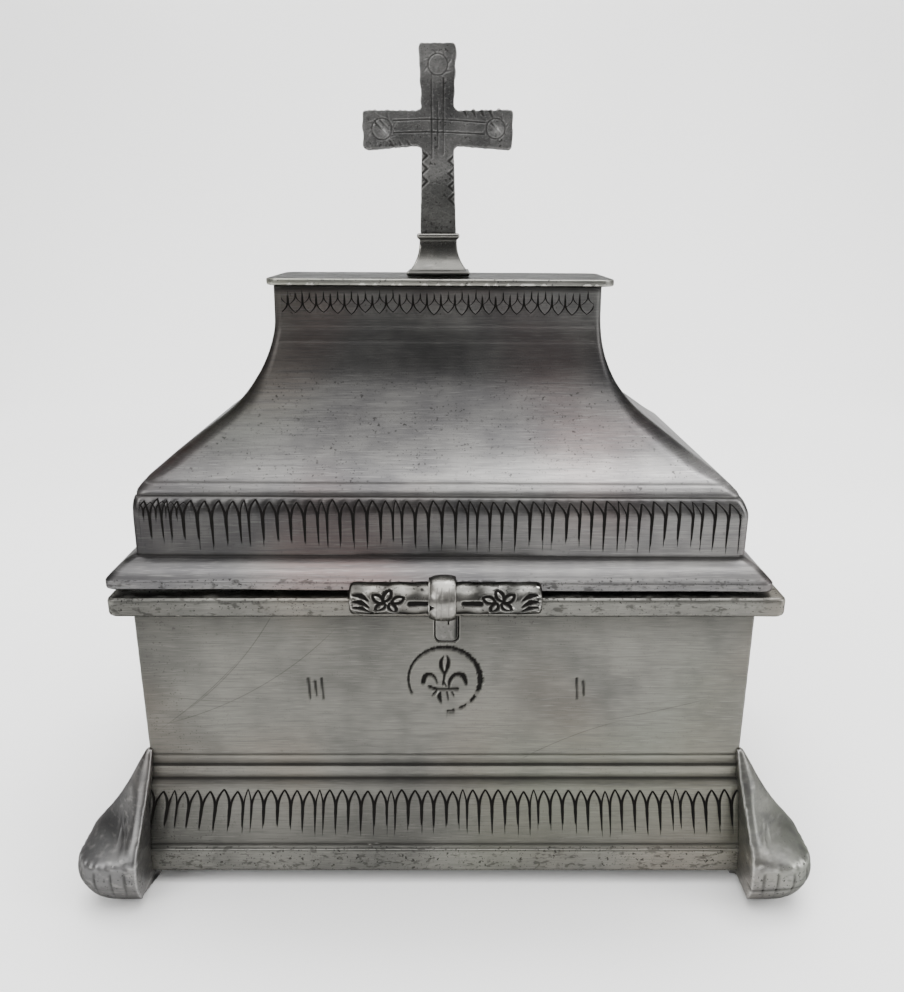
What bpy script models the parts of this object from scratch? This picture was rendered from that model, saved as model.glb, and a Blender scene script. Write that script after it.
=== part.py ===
"""A cast pewter casket for holy oils: a box on four leaf feet, a hinged roof-shaped lid and a cross.

The origin is on the ground under the box's middle. +X is to the viewer's right, the front faces -Y.
A profile is a list of (reach, height) pairs, where reach is how far a face stands out from the plane
of the box walls: positive outside it and negative inside it.
"""

import math

import bmesh
import bpy
from mathutils import Matrix, Vector

MM = 0.001

# Box walls
BOX_WIDTH = 191.0 * MM
BOX_DEPTH = 120.0 * MM
BOX_WALL = 3.0 * MM
BOX_CORNER_RADIUS = 0.9 * MM
BOX_CORNER_GROWTH = 0.27
SHARPEST_CORNER = 0.4 * MM
FLOOR_TOP = 41.0 * MM
FLOOR_THICKNESS = 3.0 * MM

# Base skirt, from the plinth's underside up to the foot of the walls
PLINTH_BOTTOM = 5.5 * MM
PLINTH_HEIGHT = 8.7 * MM
PLINTH_REACH = 7.0 * MM
PLINTH_EDGE = 1.0 * MM
PLINTH_GROOVE = 1.8 * MM
SKIRT_WALL = 3.2 * MM
BASE_BAND_HEIGHT = 19.4 * MM
BASE_BAND_FOOT_REACH = 6.0 * MM
BASE_BAND_HEAD_REACH = 3.0 * MM
BASE_LEDGE = 1.9 * MM
BASE_FILLET_HEIGHT = 4.5 * MM
BASE_FILLET_REACH = 0.8 * MM
LINE_WIDTH = 0.9 * MM
LINE_DEPTH = 0.5 * MM

# Box rim
RIM_BOTTOM = 96.2 * MM
RIM_HEIGHT = 6.2 * MM
RIM_REACH = 6.2 * MM
RIM_ROUND = 1.3 * MM

# Lid: flange, band, roof and neck
SEAM = 1.7 * MM
TOUCH_GAP = 0.3 * MM
LID_SHIFT = -2.2 * MM
LID_WALL = 2.5 * MM
LID_CORNER_RADIUS = 2.8 * MM
HIP_RADIUS = 9.0 * MM
FLANGE_REACH = 4.6 * MM
FLANGE_EDGE_HEIGHT = 2.9 * MM
FLANGE_HEIGHT = 8.2 * MM
FLANGE_SHOULDER_REACH = 1.6 * MM
SEAT_WIDTH = 3.5 * MM
BAND_SET_BACK = 2.6 * MM
BAND_HEIGHT = 12.2 * MM
EAVES_RADIUS = 13.8 * MM
ROOF_SLOPE = math.radians(36.6)
ROOF_RUN = 18.2 * MM
SWEEP_RADIUS = 39.5 * MM
NECK_SLOPE = math.radians(89.4)
NECK_HEIGHT = 9.2 * MM

# Top plate, socle and cross
PLATE_THICKNESS = 2.2 * MM
PLATE_OVERHANG = 2.9 * MM
PLATE_CORNER_RADIUS = 5.0 * MM
PLATE_EDGE = 0.5 * MM
SOCLE_WIDTH = 20.8 * MM
SOCLE_DEPTH = 17.0 * MM
SOCLE_HEIGHT = 13.4 * MM
SOCLE_FOOT_HEIGHT = 1.6 * MM
SOCLE_COLLAR_WIDTH = 14.1 * MM
SOCLE_COLLAR_DEPTH = 8.6 * MM
SOCLE_COLLAR_HEIGHT = 1.9 * MM
SOCLE_SWEEP_POWER = 2.5
SOCLE_WAIST_INSET = 0.7 * MM
CROSS_HEIGHT = 56.7 * MM
CROSS_SPAN = 48.2 * MM
CROSS_BAR = 11.8 * MM
CROSS_FLARE = 0.7 * MM
CROSS_DROOP = 0.5 * MM
CROSS_FILLET = 1.5 * MM
CROSS_CORNER = 1.3 * MM
CROSS_THICKNESS = 5.4 * MM
CROSS_ARM_HEIGHT = 32.0 * MM
CROSS_EDGE = 0.6 * MM

# Hinge: an engraved bar on the lid turns in a strap on the box
HINGE_AXIS_REACH = RIM_REACH + 1.1 * MM
HINGE_BAR_RADIUS = 4.9 * MM
HINGE_BAR_LENGTH = 56.6 * MM
HINGE_BAR_ROUND = 1.1 * MM
STRAP_THICKNESS = 1.7 * MM
STRAP_WIDTH = 8.1 * MM
STRAP_ROUND = 0.7 * MM
STRAP_SHIFT = -0.4 * MM
TONGUE_WIDTH = 7.1 * MM
TONGUE_THICKNESS = 1.2 * MM
TONGUE_DROP = 10.8 * MM
TONGUE_SHIFT = 1.2 * MM
TONGUE_ROUND = 1.8 * MM

# Feet
FOOT_HEIGHT = 47.0 * MM
FOOT_LIP_SET = 2.5 * MM
FOOT_LIP_THICKNESS = 2.6 * MM
FOOT_TOE_HEIGHT = 17.4 * MM
FOOT_TOE_RADIUS = 10.0 * MM
FOOT_BOWL_HEIGHT = 16.0 * MM
FOOT_BOWL_WALL = 2.0 * MM
# Height and reach of the foot's side outline, from its tip down to the sole
FOOT_OUTLINE = (
    (47.0 * MM, 0.9 * MM),
    (42.7 * MM, 3.5 * MM),
    (35.1 * MM, 8.0 * MM),
    (27.4 * MM, 13.7 * MM),
    (23.5 * MM, 17.2 * MM),
    (19.7 * MM, 20.6 * MM),
    (15.5 * MM, 21.9 * MM),
    (9.0 * MM, 21.3 * MM),
    (4.1 * MM, 18.8 * MM),
    (0.0 * MM, 13.6 * MM),
)

# Struck arches and engraving
ARCH_PITCH = 4.4 * MM
ARCH_GAP = 0.7 * MM
ARCH_DEPTH = 0.7 * MM
ARCH_BAR = 2.6 * MM
LID_ARCH_HEIGHT = 11.5 * MM
LID_ARCH_RISE = 1.6 * MM
BASE_ARCH_HEIGHT = 15.0 * MM
BASE_ARCH_HEAD = 1.8 * MM
NECK_ARCH_PITCH = 4.9 * MM
NECK_ARCH_HEIGHT = 7.4 * MM
NECK_ARCH_HEAD = 0.8 * MM
BAND_END_MARGIN = 2.2 * MM
ENGRAVING_DEPTH = 0.45 * MM
ROUNDEL_RADIUS = 10.8 * MM
ROUNDEL_HEIGHT = 72.2 * MM
ROUNDEL_LINE = 1.3 * MM
ROUNDEL_DASHES = 15
STROKE_ROW_OFFSET = 41.5 * MM
STROKE_ROW_HEIGHT = 69.5 * MM
STROKE_LENGTH = 6.4 * MM
STROKE_WIDTH = 1.0 * MM
CROSS_CIRCLE_RADIUS = 3.0 * MM
CROSS_NICK_PITCH = 4.2 * MM
CROSS_NICK_SIZE = 2.3 * MM

LID_PIECES = ("lid_shell", "lid_top_plate", "hinge_bar", "cross_socle", "cross")

ARC_STEPS = 5
CORNER_STEPS = 2
TOE_STEPS = 3
BAR_STEPS = 24
OVERCUT = 0.4 * MM
MARK_OVERCUT = 0.04 * MM

BASE_BAND_BOTTOM = PLINTH_BOTTOM + PLINTH_HEIGHT + PLINTH_GROOVE
BASE_BAND_TOP = BASE_BAND_BOTTOM + BASE_BAND_HEIGHT
RIM_TOP = RIM_BOTTOM + RIM_HEIGHT
FLANGE_BOTTOM = RIM_TOP + SEAM
FLANGE_TOP = FLANGE_BOTTOM + FLANGE_HEIGHT
SEAT_BOTTOM = RIM_TOP + TOUCH_GAP
BAND_TOP = FLANGE_TOP + BAND_HEIGHT
HINGE_AXIS_Y = -BOX_DEPTH / 2 - HINGE_AXIS_REACH
HINGE_AXIS_Z = RIM_TOP + SEAM / 2
STRAP_BORE = HINGE_BAR_RADIUS + TOUCH_GAP
STRAP_RADIUS = STRAP_BORE + STRAP_THICKNESS


def clear_scene():
    for old in list(bpy.data.objects):
        bpy.data.objects.remove(old, do_unlink=True)


def metal(name, colour, roughness):
    """A cast or polished pewter surface."""
    material = bpy.data.materials.new(name)
    material.use_nodes = True
    shader = material.node_tree.nodes["Principled BSDF"]
    shader.inputs["Base Color"].default_value = (*colour, 1.0)
    shader.inputs["Roughness"].default_value = roughness
    shader.inputs["Metallic"].default_value = 1.0
    return material


def arc(centre, radius, start, end, steps=ARC_STEPS):
    """Points on an arc in the plane of a profile, with angles in radians from the outward direction."""
    points = []
    for step in range(steps + 1):
        angle = start + (end - start) * step / steps
        points.append((centre[0] + radius * math.cos(angle), centre[1] + radius * math.sin(angle)))
    return points


def new_object(name, mesh_builder, material):
    mesh = bpy.data.meshes.new(name)
    mesh_builder.normal_update()
    mesh_builder.to_mesh(mesh)
    mesh_builder.free()
    mesh.materials.append(material)
    piece = bpy.data.objects.new(name, mesh)
    bpy.context.scene.collection.objects.link(piece)
    return piece


def shade(piece, angle=math.radians(32.0)):
    piece.data.shade_smooth()
    piece.data.set_sharp_from_angle(angle=angle)


def ring_points(half_x, half_y, radius, height, shift=0.0):
    """A rounded rectangle at one height, walked anticlockwise seen from above."""
    corners = ((1, 1, 0.0), (-1, 1, 0.5), (-1, -1, 1.0), (1, -1, 1.5))
    points = []
    for sign_x, sign_y, turn in corners:
        for step in range(CORNER_STEPS + 1):
            angle = math.pi * (turn + 0.5 * step / CORNER_STEPS)
            x = sign_x * (half_x - radius) + radius * math.cos(angle)
            y = sign_y * (half_y - radius) + radius * math.sin(angle)
            points.append(Vector((x + shift, y, height)))
    return points


def loft(builder, rings, closed):
    """Join rings of equal length with quads, and cap the first and last ring unless they meet."""
    rows = [[builder.verts.new(point) for point in ring] for ring in rings]
    pairs = list(zip(rows, rows[1:]))
    if closed:
        pairs.append((rows[-1], rows[0]))
    for low, high in pairs:
        count = len(low)
        for index in range(count):
            after = (index + 1) % count
            builder.faces.new((low[index], low[after], high[after], high[index]))
    if not closed:
        builder.faces.new(list(reversed(rows[0])))
        builder.faces.new(rows[-1])
    bmesh.ops.recalc_face_normals(builder, faces=builder.faces)


def smooth_step(value):
    share = min(max(value, 0.0), 1.0)
    return share * share * (3.0 - 2.0 * share)


def box_rings(profile, corner_at, shift=0.0):
    """One rounded rectangle for each point of a profile, where corner_at gives its corner radius."""
    rings = []
    for reach, height in profile:
        radius = max(corner_at(reach), SHARPEST_CORNER)
        rings.append(ring_points(BOX_WIDTH / 2 + reach, BOX_DEPTH / 2 + reach, radius, height, shift))
    return rings


def box_corner(reach):
    return BOX_CORNER_RADIUS + BOX_CORNER_GROWTH * reach


def lid_corner(reach):
    """The lid's corner radius: small round the band, wide on the hips and small again at the neck."""
    neck = lid_outer_profile()[-1][0]
    share = (-BAND_SET_BACK - reach) / (-BAND_SET_BACK - neck)
    hip = smooth_step(share / 0.25) * (1.0 - smooth_step((share - 0.6) / 0.4))
    return LID_CORNER_RADIUS + (HIP_RADIUS - LID_CORNER_RADIUS) * hip


def lid_inner_corner(reach):
    return lid_corner(reach + LID_WALL) - LID_WALL


def line_notch(reach, height):
    """The upper half of an incised line round the box, a shallow V in a profile that runs upwards."""
    return [(reach - LINE_DEPTH, height), (reach, height + LINE_WIDTH / 2)]


def skirt_profile():
    """The outer face of the base, from the plinth's underside up to the foot of the walls."""
    plinth_top = PLINTH_BOTTOM + PLINTH_HEIGHT
    ledge_top = BASE_BAND_TOP + BASE_LEDGE
    fillet_top = ledge_top + BASE_FILLET_HEIGHT
    profile = [
        (PLINTH_REACH - PLINTH_EDGE, PLINTH_BOTTOM),
        (PLINTH_REACH, PLINTH_BOTTOM + PLINTH_EDGE),
        (PLINTH_REACH, plinth_top - PLINTH_EDGE),
        (PLINTH_REACH - PLINTH_EDGE, plinth_top),
        (BASE_BAND_FOOT_REACH - LINE_DEPTH, plinth_top + PLINTH_GROOVE / 2),
        (BASE_BAND_FOOT_REACH, BASE_BAND_BOTTOM),
        (BASE_BAND_HEAD_REACH, BASE_BAND_TOP),
        (BASE_FILLET_REACH, ledge_top - LINE_WIDTH),
    ]
    profile += line_notch(BASE_FILLET_REACH, ledge_top)
    profile.append((BASE_FILLET_REACH, fillet_top - LINE_WIDTH))
    profile += line_notch(0.0, fillet_top)
    return profile


def rim_profile():
    """The rounded rim, from its underside to its flat top."""
    low = (RIM_REACH - RIM_ROUND, RIM_BOTTOM + RIM_ROUND)
    high = (RIM_REACH - RIM_ROUND, RIM_TOP - RIM_ROUND)
    profile = [(0.0, RIM_BOTTOM)]
    profile += arc(low, RIM_ROUND, -math.pi / 2, 0.0, 3)
    profile += arc(high, RIM_ROUND, 0.0, math.pi / 2, 3)
    return profile


def box_profile():
    """The whole wall of the box, from the floor's underside, round the outside, to the floor's top."""
    floor_bottom = FLOOR_TOP - FLOOR_THICKNESS
    inside = [
        (-BOX_WALL, RIM_TOP),
        (-BOX_WALL, FLOOR_TOP),
    ]
    underside = [
        (BASE_FILLET_REACH - SKIRT_WALL, floor_bottom),
        (BASE_BAND_HEAD_REACH - SKIRT_WALL, BASE_BAND_TOP - SKIRT_WALL),
        (PLINTH_REACH - SKIRT_WALL, BASE_BAND_BOTTOM),
        (PLINTH_REACH - SKIRT_WALL, PLINTH_BOTTOM),
    ]
    return underside + skirt_profile() + rim_profile() + inside


def reach_between(profile, low, high):
    """The furthest that a profile reaches anywhere between two heights."""
    reach = 0.0
    for (reach_a, height_a), (reach_b, height_b) in zip(profile, profile[1:]):
        for height in (low, high):
            if min(height_a, height_b) <= height <= max(height_a, height_b) and height_a != height_b:
                share = (height - height_a) / (height_b - height_a)
                reach = max(reach, reach_a + (reach_b - reach_a) * share)
        for point_reach, point_height in ((reach_a, height_a), (reach_b, height_b)):
            if low <= point_height <= high:
                reach = max(reach, point_reach)
    return reach


def lid_outer_profile():
    """The outer face of the lid, from the flange's lower edge up to the top of the neck."""
    shoulder = (FLANGE_SHOULDER_REACH, FLANGE_TOP - LINE_WIDTH)
    band_reach = -BAND_SET_BACK
    profile = [
        (FLANGE_REACH, FLANGE_BOTTOM),
        (FLANGE_REACH, FLANGE_BOTTOM + FLANGE_EDGE_HEIGHT),
        ((FLANGE_REACH + shoulder[0]) / 2 + LINE_DEPTH, (FLANGE_BOTTOM + FLANGE_EDGE_HEIGHT + shoulder[1]) / 2),
        shoulder,
        (band_reach, FLANGE_TOP),
        (band_reach, BAND_TOP),
    ]
    eaves = (band_reach - EAVES_RADIUS, BAND_TOP)
    eaves_end = math.pi / 2 - ROOF_SLOPE
    profile += arc(eaves, EAVES_RADIUS, 0.0, eaves_end)[1:]
    reach, height = profile[-1]
    profile.append((reach - ROOF_RUN, height + ROOF_RUN * math.tan(ROOF_SLOPE)))
    reach, height = profile[-1]
    sweep = (
        reach + SWEEP_RADIUS * math.sin(ROOF_SLOPE),
        height + SWEEP_RADIUS * math.cos(ROOF_SLOPE),
    )
    sweep_start = -math.pi / 2 - ROOF_SLOPE
    sweep_end = -math.pi / 2 - NECK_SLOPE
    profile += arc(sweep, SWEEP_RADIUS, sweep_start, sweep_end, ARC_STEPS + 1)[1:]
    reach, height = profile[-1]
    profile.append((reach - NECK_HEIGHT / math.tan(NECK_SLOPE), height + NECK_HEIGHT))
    return profile


def offset_profile(profile, distance):
    """The same profile moved inwards by a distance, square to its faces."""
    moved = []
    for index, (reach, height) in enumerate(profile):
        before = profile[max(index - 1, 0)]
        after = profile[min(index + 1, len(profile) - 1)]
        into = Vector((reach - before[0], height - before[1]))
        out_of = Vector((after[0] - reach, after[1] - height))
        sides = [side.normalized() for side in (into, out_of) if side.length > 0.0]
        normals = [Vector((side.y, -side.x)) for side in sides]
        middle = (normals[0] + normals[-1]).normalized()
        stretch = distance / max(middle.dot(normals[0]), 0.5)
        moved.append((reach - middle.x * stretch, height - middle.y * stretch))
    return moved


def lid_inner_profile():
    """The inner face of the lid, from the top of the neck down to the seat on the box rim."""
    outer = lid_outer_profile()
    band_foot = outer.index((-BAND_SET_BACK, FLANGE_TOP))
    inner = offset_profile(outer[band_foot:], LID_WALL)
    inner[0] = (-BAND_SET_BACK - LID_WALL, FLANGE_TOP - LID_WALL)
    inner[-1] = (outer[-1][0] - LID_WALL, outer[-1][1])
    seat_outer = FLANGE_REACH - LID_WALL
    seat_inner = seat_outer - SEAT_WIDTH
    seat = [
        (seat_inner, FLANGE_TOP - LID_WALL),
        (seat_inner, SEAT_BOTTOM),
        (seat_outer, SEAT_BOTTOM),
        (seat_outer, FLANGE_BOTTOM),
    ]
    return list(reversed(inner)) + seat


def struck_mark(builder, place, outline, depth_at, depth):
    """A pit struck into a face: a cone from the outline down to one deepest point.

    place maps (along, up, out) to a point in space, and out is square to the face. The cutter starts
    a little above the face, so its outline is widened there by the same slope.
    """
    grow = (depth + MARK_OVERCUT) / depth
    bottom = builder.verts.new(place(depth_at[0], depth_at[1], -depth))
    top = []
    for along, up in outline:
        wide_along = depth_at[0] + (along - depth_at[0]) * grow
        wide_up = depth_at[1] + (up - depth_at[1]) * grow
        top.append(builder.verts.new(place(wide_along, wide_up, MARK_OVERCUT)))
    faces = [builder.faces.new(top)]
    for first, second in zip(top, top[1:] + top[:1]):
        faces.append(builder.faces.new((second, first, bottom)))
    bmesh.ops.recalc_face_normals(builder, faces=faces)


def arch_outline(pitch, height, head, point_up):
    """The outline of one struck pointed arch, its shoulders curved and its legs run out to points."""
    half = (pitch - ARCH_GAP) / 2
    sign = 1.0 if point_up else -1.0
    left = [(-half * 0.72, head + height * 0.26), (-half, head + height)]
    inside = (0.0, head + ARCH_BAR)
    points = [(0.0, head)] + left + [inside]
    points += [(-left[1][0], left[1][1]), (-left[0][0], left[0][1])]
    return [(along, -sign * down) for along, down in points]


def face_place(origin, along, up):
    """A function from (along, up, out) on a flat face to space."""
    along = Vector(along).normalized()
    up = Vector(up).normalized()
    out = along.cross(up)
    origin = Vector(origin)
    return lambda a, u, o: origin + along * a + up * u + out * o


def band_sides(foot, head, shift=0.0):
    """The four flat faces of a band between two profile points: a place at the head and its half length."""
    rise = head[1] - foot[1]
    lean = head[0] - foot[0]
    sides = []
    for turn in range(4):
        angle = turn * math.pi / 2
        along = Vector((math.cos(angle), math.sin(angle), 0.0))
        outward = Vector((math.sin(angle), -math.cos(angle), 0.0))
        half_length = (BOX_WIDTH if turn % 2 == 0 else BOX_DEPTH) / 2
        half_across = (BOX_DEPTH if turn % 2 == 0 else BOX_WIDTH) / 2
        centre = outward * (half_across + head[0]) + Vector((shift, 0.0, head[1]))
        up = outward * lean + Vector((0.0, 0.0, rise))
        sides.append((face_place(centre, along, up), half_length + min(head[0], foot[0])))
    return sides


def strike_band(builder, foot, head, pitch, outline, margin, shift=0.0):
    """A row of struck arches round the four faces of a band."""
    depth_at = (0.0, (outline[0][1] + outline[3][1]) / 2)
    for place, half_length in band_sides(foot, head, shift):
        room = 2 * (half_length - margin)
        count = max(int(room / pitch), 1)
        for index in range(count):
            along = (index - (count - 1) / 2) * pitch
            moved = [(along + point[0], point[1]) for point in outline]
            struck_mark(builder, place, moved, (along + depth_at[0], depth_at[1]), ARCH_DEPTH)


def stroke_outline(start, end, width):
    """A graver's stroke: a long lozenge between two points."""
    start = Vector(start)
    end = Vector(end)
    run = end - start
    side = Vector((-run.y, run.x)).normalized() * width / 2
    middle = start.lerp(end, 0.45)
    return [tuple(start), tuple(middle + side), tuple(end), tuple(middle - side)]


def engrave(builder, place, start, end, width, depth=ENGRAVING_DEPTH):
    outline = stroke_outline(start, end, width)
    centre = Vector(start).lerp(Vector(end), 0.45)
    struck_mark(builder, place, outline, tuple(centre), depth)


def make_cutter(name, builder, material):
    cutter = new_object(name, builder, material)
    cutter.hide_render = True
    cutter.display_type = "WIRE"
    return cutter


def cut(piece, cutter):
    modifier = piece.modifiers.new(cutter.name, "BOOLEAN")
    modifier.operation = "DIFFERENCE"
    modifier.solver = "EXACT"
    modifier.object = cutter


def unite(piece, part):
    modifier = piece.modifiers.new(part.name, "BOOLEAN")
    modifier.operation = "UNION"
    modifier.solver = "EXACT"
    modifier.object = part


def cylinder(builder, radius, length, centre_x, steps=BAR_STEPS, rounding=0.0):
    """A cylinder along the hinge axis, its two ends rounded."""
    half = length / 2
    stations = [(-half, radius - rounding), (-half + rounding, radius)]
    if rounding == 0.0:
        stations = [(-half, radius)]
    stations += [(-x, r) for x, r in reversed(stations)]
    rings = []
    for x, ring_radius in stations:
        ring = []
        for step in range(steps):
            angle = 2 * math.pi * step / steps
            y = HINGE_AXIS_Y + ring_radius * math.cos(angle)
            z = HINGE_AXIS_Z + ring_radius * math.sin(angle)
            ring.append(Vector((centre_x + x, y, z)))
        rings.append(ring)
    loft(builder, rings, closed=False)


def block(builder, low, high):
    """A plain block between two corners."""
    ring = [(low[0], low[1]), (high[0], low[1]), (high[0], high[1]), (low[0], high[1])]
    rings = [[Vector((x, y, z)) for x, y in ring] for z in (low[2], high[2])]
    loft(builder, rings, closed=False)


def hinge_clearance(name, bar, material):
    """The round space that the bar, or the strap about it, needs in the rim and the flange."""
    builder = bmesh.new()
    if bar:
        cylinder(builder, HINGE_BAR_RADIUS + TOUCH_GAP, HINGE_BAR_LENGTH + 2 * TOUCH_GAP, 0.0)
    else:
        cylinder(builder, STRAP_RADIUS + TOUCH_GAP, STRAP_WIDTH + 2 * TOUCH_GAP, STRAP_SHIFT)
    return make_cutter(name, builder, material)


def tongue_outline(margin):
    """The tongue seen from the front: a strip with rounded lower corners, as (x, z) points."""
    half = TONGUE_WIDTH / 2 + margin
    low = RIM_BOTTOM - TONGUE_DROP - margin
    radius = TONGUE_ROUND + margin
    high = RIM_TOP + margin
    points = [(half, high), (-half, high)]
    points += arc((-half + radius, low + radius), radius, math.pi, 1.5 * math.pi, 3)
    points += arc((half - radius, low + radius), radius, 1.5 * math.pi, 2.0 * math.pi, 3)
    return [(STRAP_SHIFT + TONGUE_SHIFT + x, z) for x, z in points]


def tongue_block(builder, margin, front, back):
    """The tongue as a block between two planes, where front and back are depths behind the wall face."""
    rings = []
    for depth in (front, back):
        y = -BOX_DEPTH / 2 + depth
        rings.append([Vector((x, y, z)) for x, z in tongue_outline(margin)])
    loft(builder, rings, closed=False)


def roundel_marks(builder, place):
    """A broken ring of dashes round a small fleur-de-lis, all in graver's strokes."""
    step = 2 * math.pi / ROUNDEL_DASHES
    worn = {6, 7}
    for index in range(ROUNDEL_DASHES):
        if index in worn:
            continue
        start = index * step
        end = start + step * 0.82
        points = [(ROUNDEL_RADIUS * math.cos(a), ROUNDEL_RADIUS * math.sin(a) * 0.95) for a in (start, end)]
        engrave(builder, place, points[0], points[1], ROUNDEL_LINE)
    size = ROUNDEL_RADIUS
    strokes = (
        ((-0.02, 0.02), (0.03, 0.66), 0.26),
        ((-0.12, -0.04), (-0.62, 0.18), 0.16),
        ((0.14, -0.02), (0.62, 0.10), 0.16),
        ((-0.42, -0.22), (0.40, -0.27), 0.10),
        ((-0.06, -0.38), (-0.16, -0.72), 0.14),
        ((0.20, -0.38), (0.24, -0.58), 0.10),
        ((-0.34, -0.36), (-0.46, -0.50), 0.09),
    )
    for start, end, width in strokes:
        first = (start[0] * size, start[1] * size)
        last = (end[0] * size, end[1] * size)
        engrave(builder, place, first, last, width * size)


def stroke_row(builder, place, count):
    """A row of upright strokes, where the real box has a worn mark."""
    pitch = STROKE_WIDTH * 2.2
    for index in range(count):
        along = (index - (count - 1) / 2) * pitch
        top = STROKE_LENGTH / 2 * (1.0 if index % 2 == 0 else 0.7)
        engrave(builder, place, (along, -STROKE_LENGTH / 2), (along, top), STROKE_WIDTH)


def make_box(material):
    builder = bmesh.new()
    loft(builder, box_rings(box_profile(), box_corner), closed=False)
    box = new_object("box_body", builder, material)

    arches = bmesh.new()
    foot = (BASE_BAND_FOOT_REACH, BASE_BAND_BOTTOM)
    head = (BASE_BAND_HEAD_REACH, BASE_BAND_TOP)
    outline = arch_outline(ARCH_PITCH, BASE_ARCH_HEIGHT, BASE_ARCH_HEAD, True)
    strike_band(arches, foot, head, ARCH_PITCH, outline, FOOT_LIP_SET + BAND_END_MARGIN)
    front = (0.0, -BOX_DEPTH / 2, 0.0)
    roundel = Vector(front) + Vector((0.0, 0.0, ROUNDEL_HEIGHT))
    roundel_marks(arches, face_place(roundel, (1, 0, 0), (0, 0, 1)))
    for side, count in ((-1, 3), (1, 2)):
        centre = Vector(front) + Vector((side * STROKE_ROW_OFFSET, 0.0, STROKE_ROW_HEIGHT))
        stroke_row(arches, face_place(centre, (1, 0, 0), (0, 0, 1)), count)
    cut(box, make_cutter("box_marks", arches, material))

    cut(box, hinge_clearance("box_bar_space", True, material))
    cut(box, hinge_clearance("box_strap_space", False, material))
    pocket = bmesh.new()
    tongue_block(pocket, TOUCH_GAP, -RIM_REACH - OVERCUT, TONGUE_THICKNESS + TOUCH_GAP)
    cut(box, make_cutter("tongue_pocket", pocket, material))
    return box


def make_strap(material):
    builder = bmesh.new()
    cylinder(builder, STRAP_RADIUS, STRAP_WIDTH, STRAP_SHIFT, rounding=STRAP_ROUND)
    strap = new_object("hinge_strap", builder, material)

    tongue = bmesh.new()
    tongue_block(tongue, 0.0, 0.0, TONGUE_THICKNESS)
    unite(strap, make_cutter("strap_tongue", tongue, material))
    neck = bmesh.new()
    neck_x = STRAP_SHIFT + TONGUE_SHIFT
    neck_front = -BOX_DEPTH / 2 - HINGE_AXIS_REACH + STRAP_BORE / 2
    low = (neck_x - TONGUE_WIDTH / 2, neck_front, HINGE_AXIS_Z - STRAP_RADIUS * 0.75)
    high = (neck_x + TONGUE_WIDTH / 2, -BOX_DEPTH / 2 + TONGUE_THICKNESS / 2, RIM_TOP)
    block(neck, low, high)
    unite(strap, make_cutter("strap_neck", neck, material))

    bore = bmesh.new()
    cylinder(bore, STRAP_BORE, STRAP_WIDTH + 2 * TONGUE_WIDTH, STRAP_SHIFT)
    cut(strap, make_cutter("strap_bore", bore, material))
    return strap


def bar_place(along, angle):
    """A flat patch against the bar's round face, at an angle above the forward direction."""
    out = Vector((0.0, -math.cos(angle), math.sin(angle)))
    up = Vector((0.0, math.sin(angle), math.cos(angle)))
    centre = Vector((along, HINGE_AXIS_Y, HINGE_AXIS_Z)) + out * HINGE_BAR_RADIUS
    return face_place(centre, (1, 0, 0), up)


def make_bar(material):
    """The hinge bar, with a petalled flower and a pair of leaves cut on each side of the strap."""
    builder = bmesh.new()
    cylinder(builder, HINGE_BAR_RADIUS, HINGE_BAR_LENGTH, 0.0, rounding=HINGE_BAR_ROUND)
    bar = new_object("hinge_bar", builder, material)

    marks = bmesh.new()
    petal = HINGE_BAR_RADIUS * 0.75
    flower_at = HINGE_BAR_LENGTH * 0.26
    leaf_at = HINGE_BAR_LENGTH * 0.42
    for side in (-1, 1):
        place = bar_place(side * flower_at, math.radians(10.0))
        for index in range(5):
            turn = math.radians(90.0 + 72.0 * index)
            start = (0.8 * MM * math.cos(turn), 0.8 * MM * math.sin(turn))
            end = (petal * math.cos(turn), petal * 0.8 * math.sin(turn))
            engrave(marks, place, start, end, 1.0 * MM)
        place = bar_place(side * leaf_at, math.radians(10.0))
        for level in (-1, 1):
            start = (side * 3.0 * MM, level * 2.0 * MM)
            end = (-side * 2.4 * MM, level * 0.7 * MM)
            engrave(marks, place, start, end, 1.0 * MM)
    cut(bar, make_cutter("bar_marks", marks, material))
    return bar


def make_lid(material):
    builder = bmesh.new()
    outer = lid_outer_profile()
    rings = box_rings(outer, lid_corner, LID_SHIFT)
    rings += box_rings(lid_inner_profile(), lid_inner_corner, LID_SHIFT)
    loft(builder, rings, closed=True)
    lid = new_object("lid_shell", builder, material)

    arches = bmesh.new()
    band_foot = (-BAND_SET_BACK, FLANGE_TOP)
    band_head = (-BAND_SET_BACK, BAND_TOP)
    outline = arch_outline(ARCH_PITCH, LID_ARCH_HEIGHT, -LID_ARCH_RISE, True)
    strike_band(arches, band_foot, band_head, ARCH_PITCH, outline, LID_CORNER_RADIUS, LID_SHIFT)
    neck_foot, neck_head = outer[-2:]
    outline = arch_outline(NECK_ARCH_PITCH, NECK_ARCH_HEIGHT, NECK_ARCH_HEAD, False)
    outline = [(along, up - NECK_ARCH_HEIGHT - 2 * NECK_ARCH_HEAD) for along, up in outline]
    strike_band(arches, neck_foot, neck_head, NECK_ARCH_PITCH, outline, LID_CORNER_RADIUS, LID_SHIFT)
    cut(lid, make_cutter("lid_marks", arches, material))

    cut(lid, hinge_clearance("lid_bar_space", True, material))
    cut(lid, hinge_clearance("lid_strap_space", False, material))
    return lid


def neck_top():
    """Half sizes of the neck's top face and its height."""
    reach, height = lid_outer_profile()[-1]
    return BOX_WIDTH / 2 + reach, BOX_DEPTH / 2 + reach, height


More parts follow.
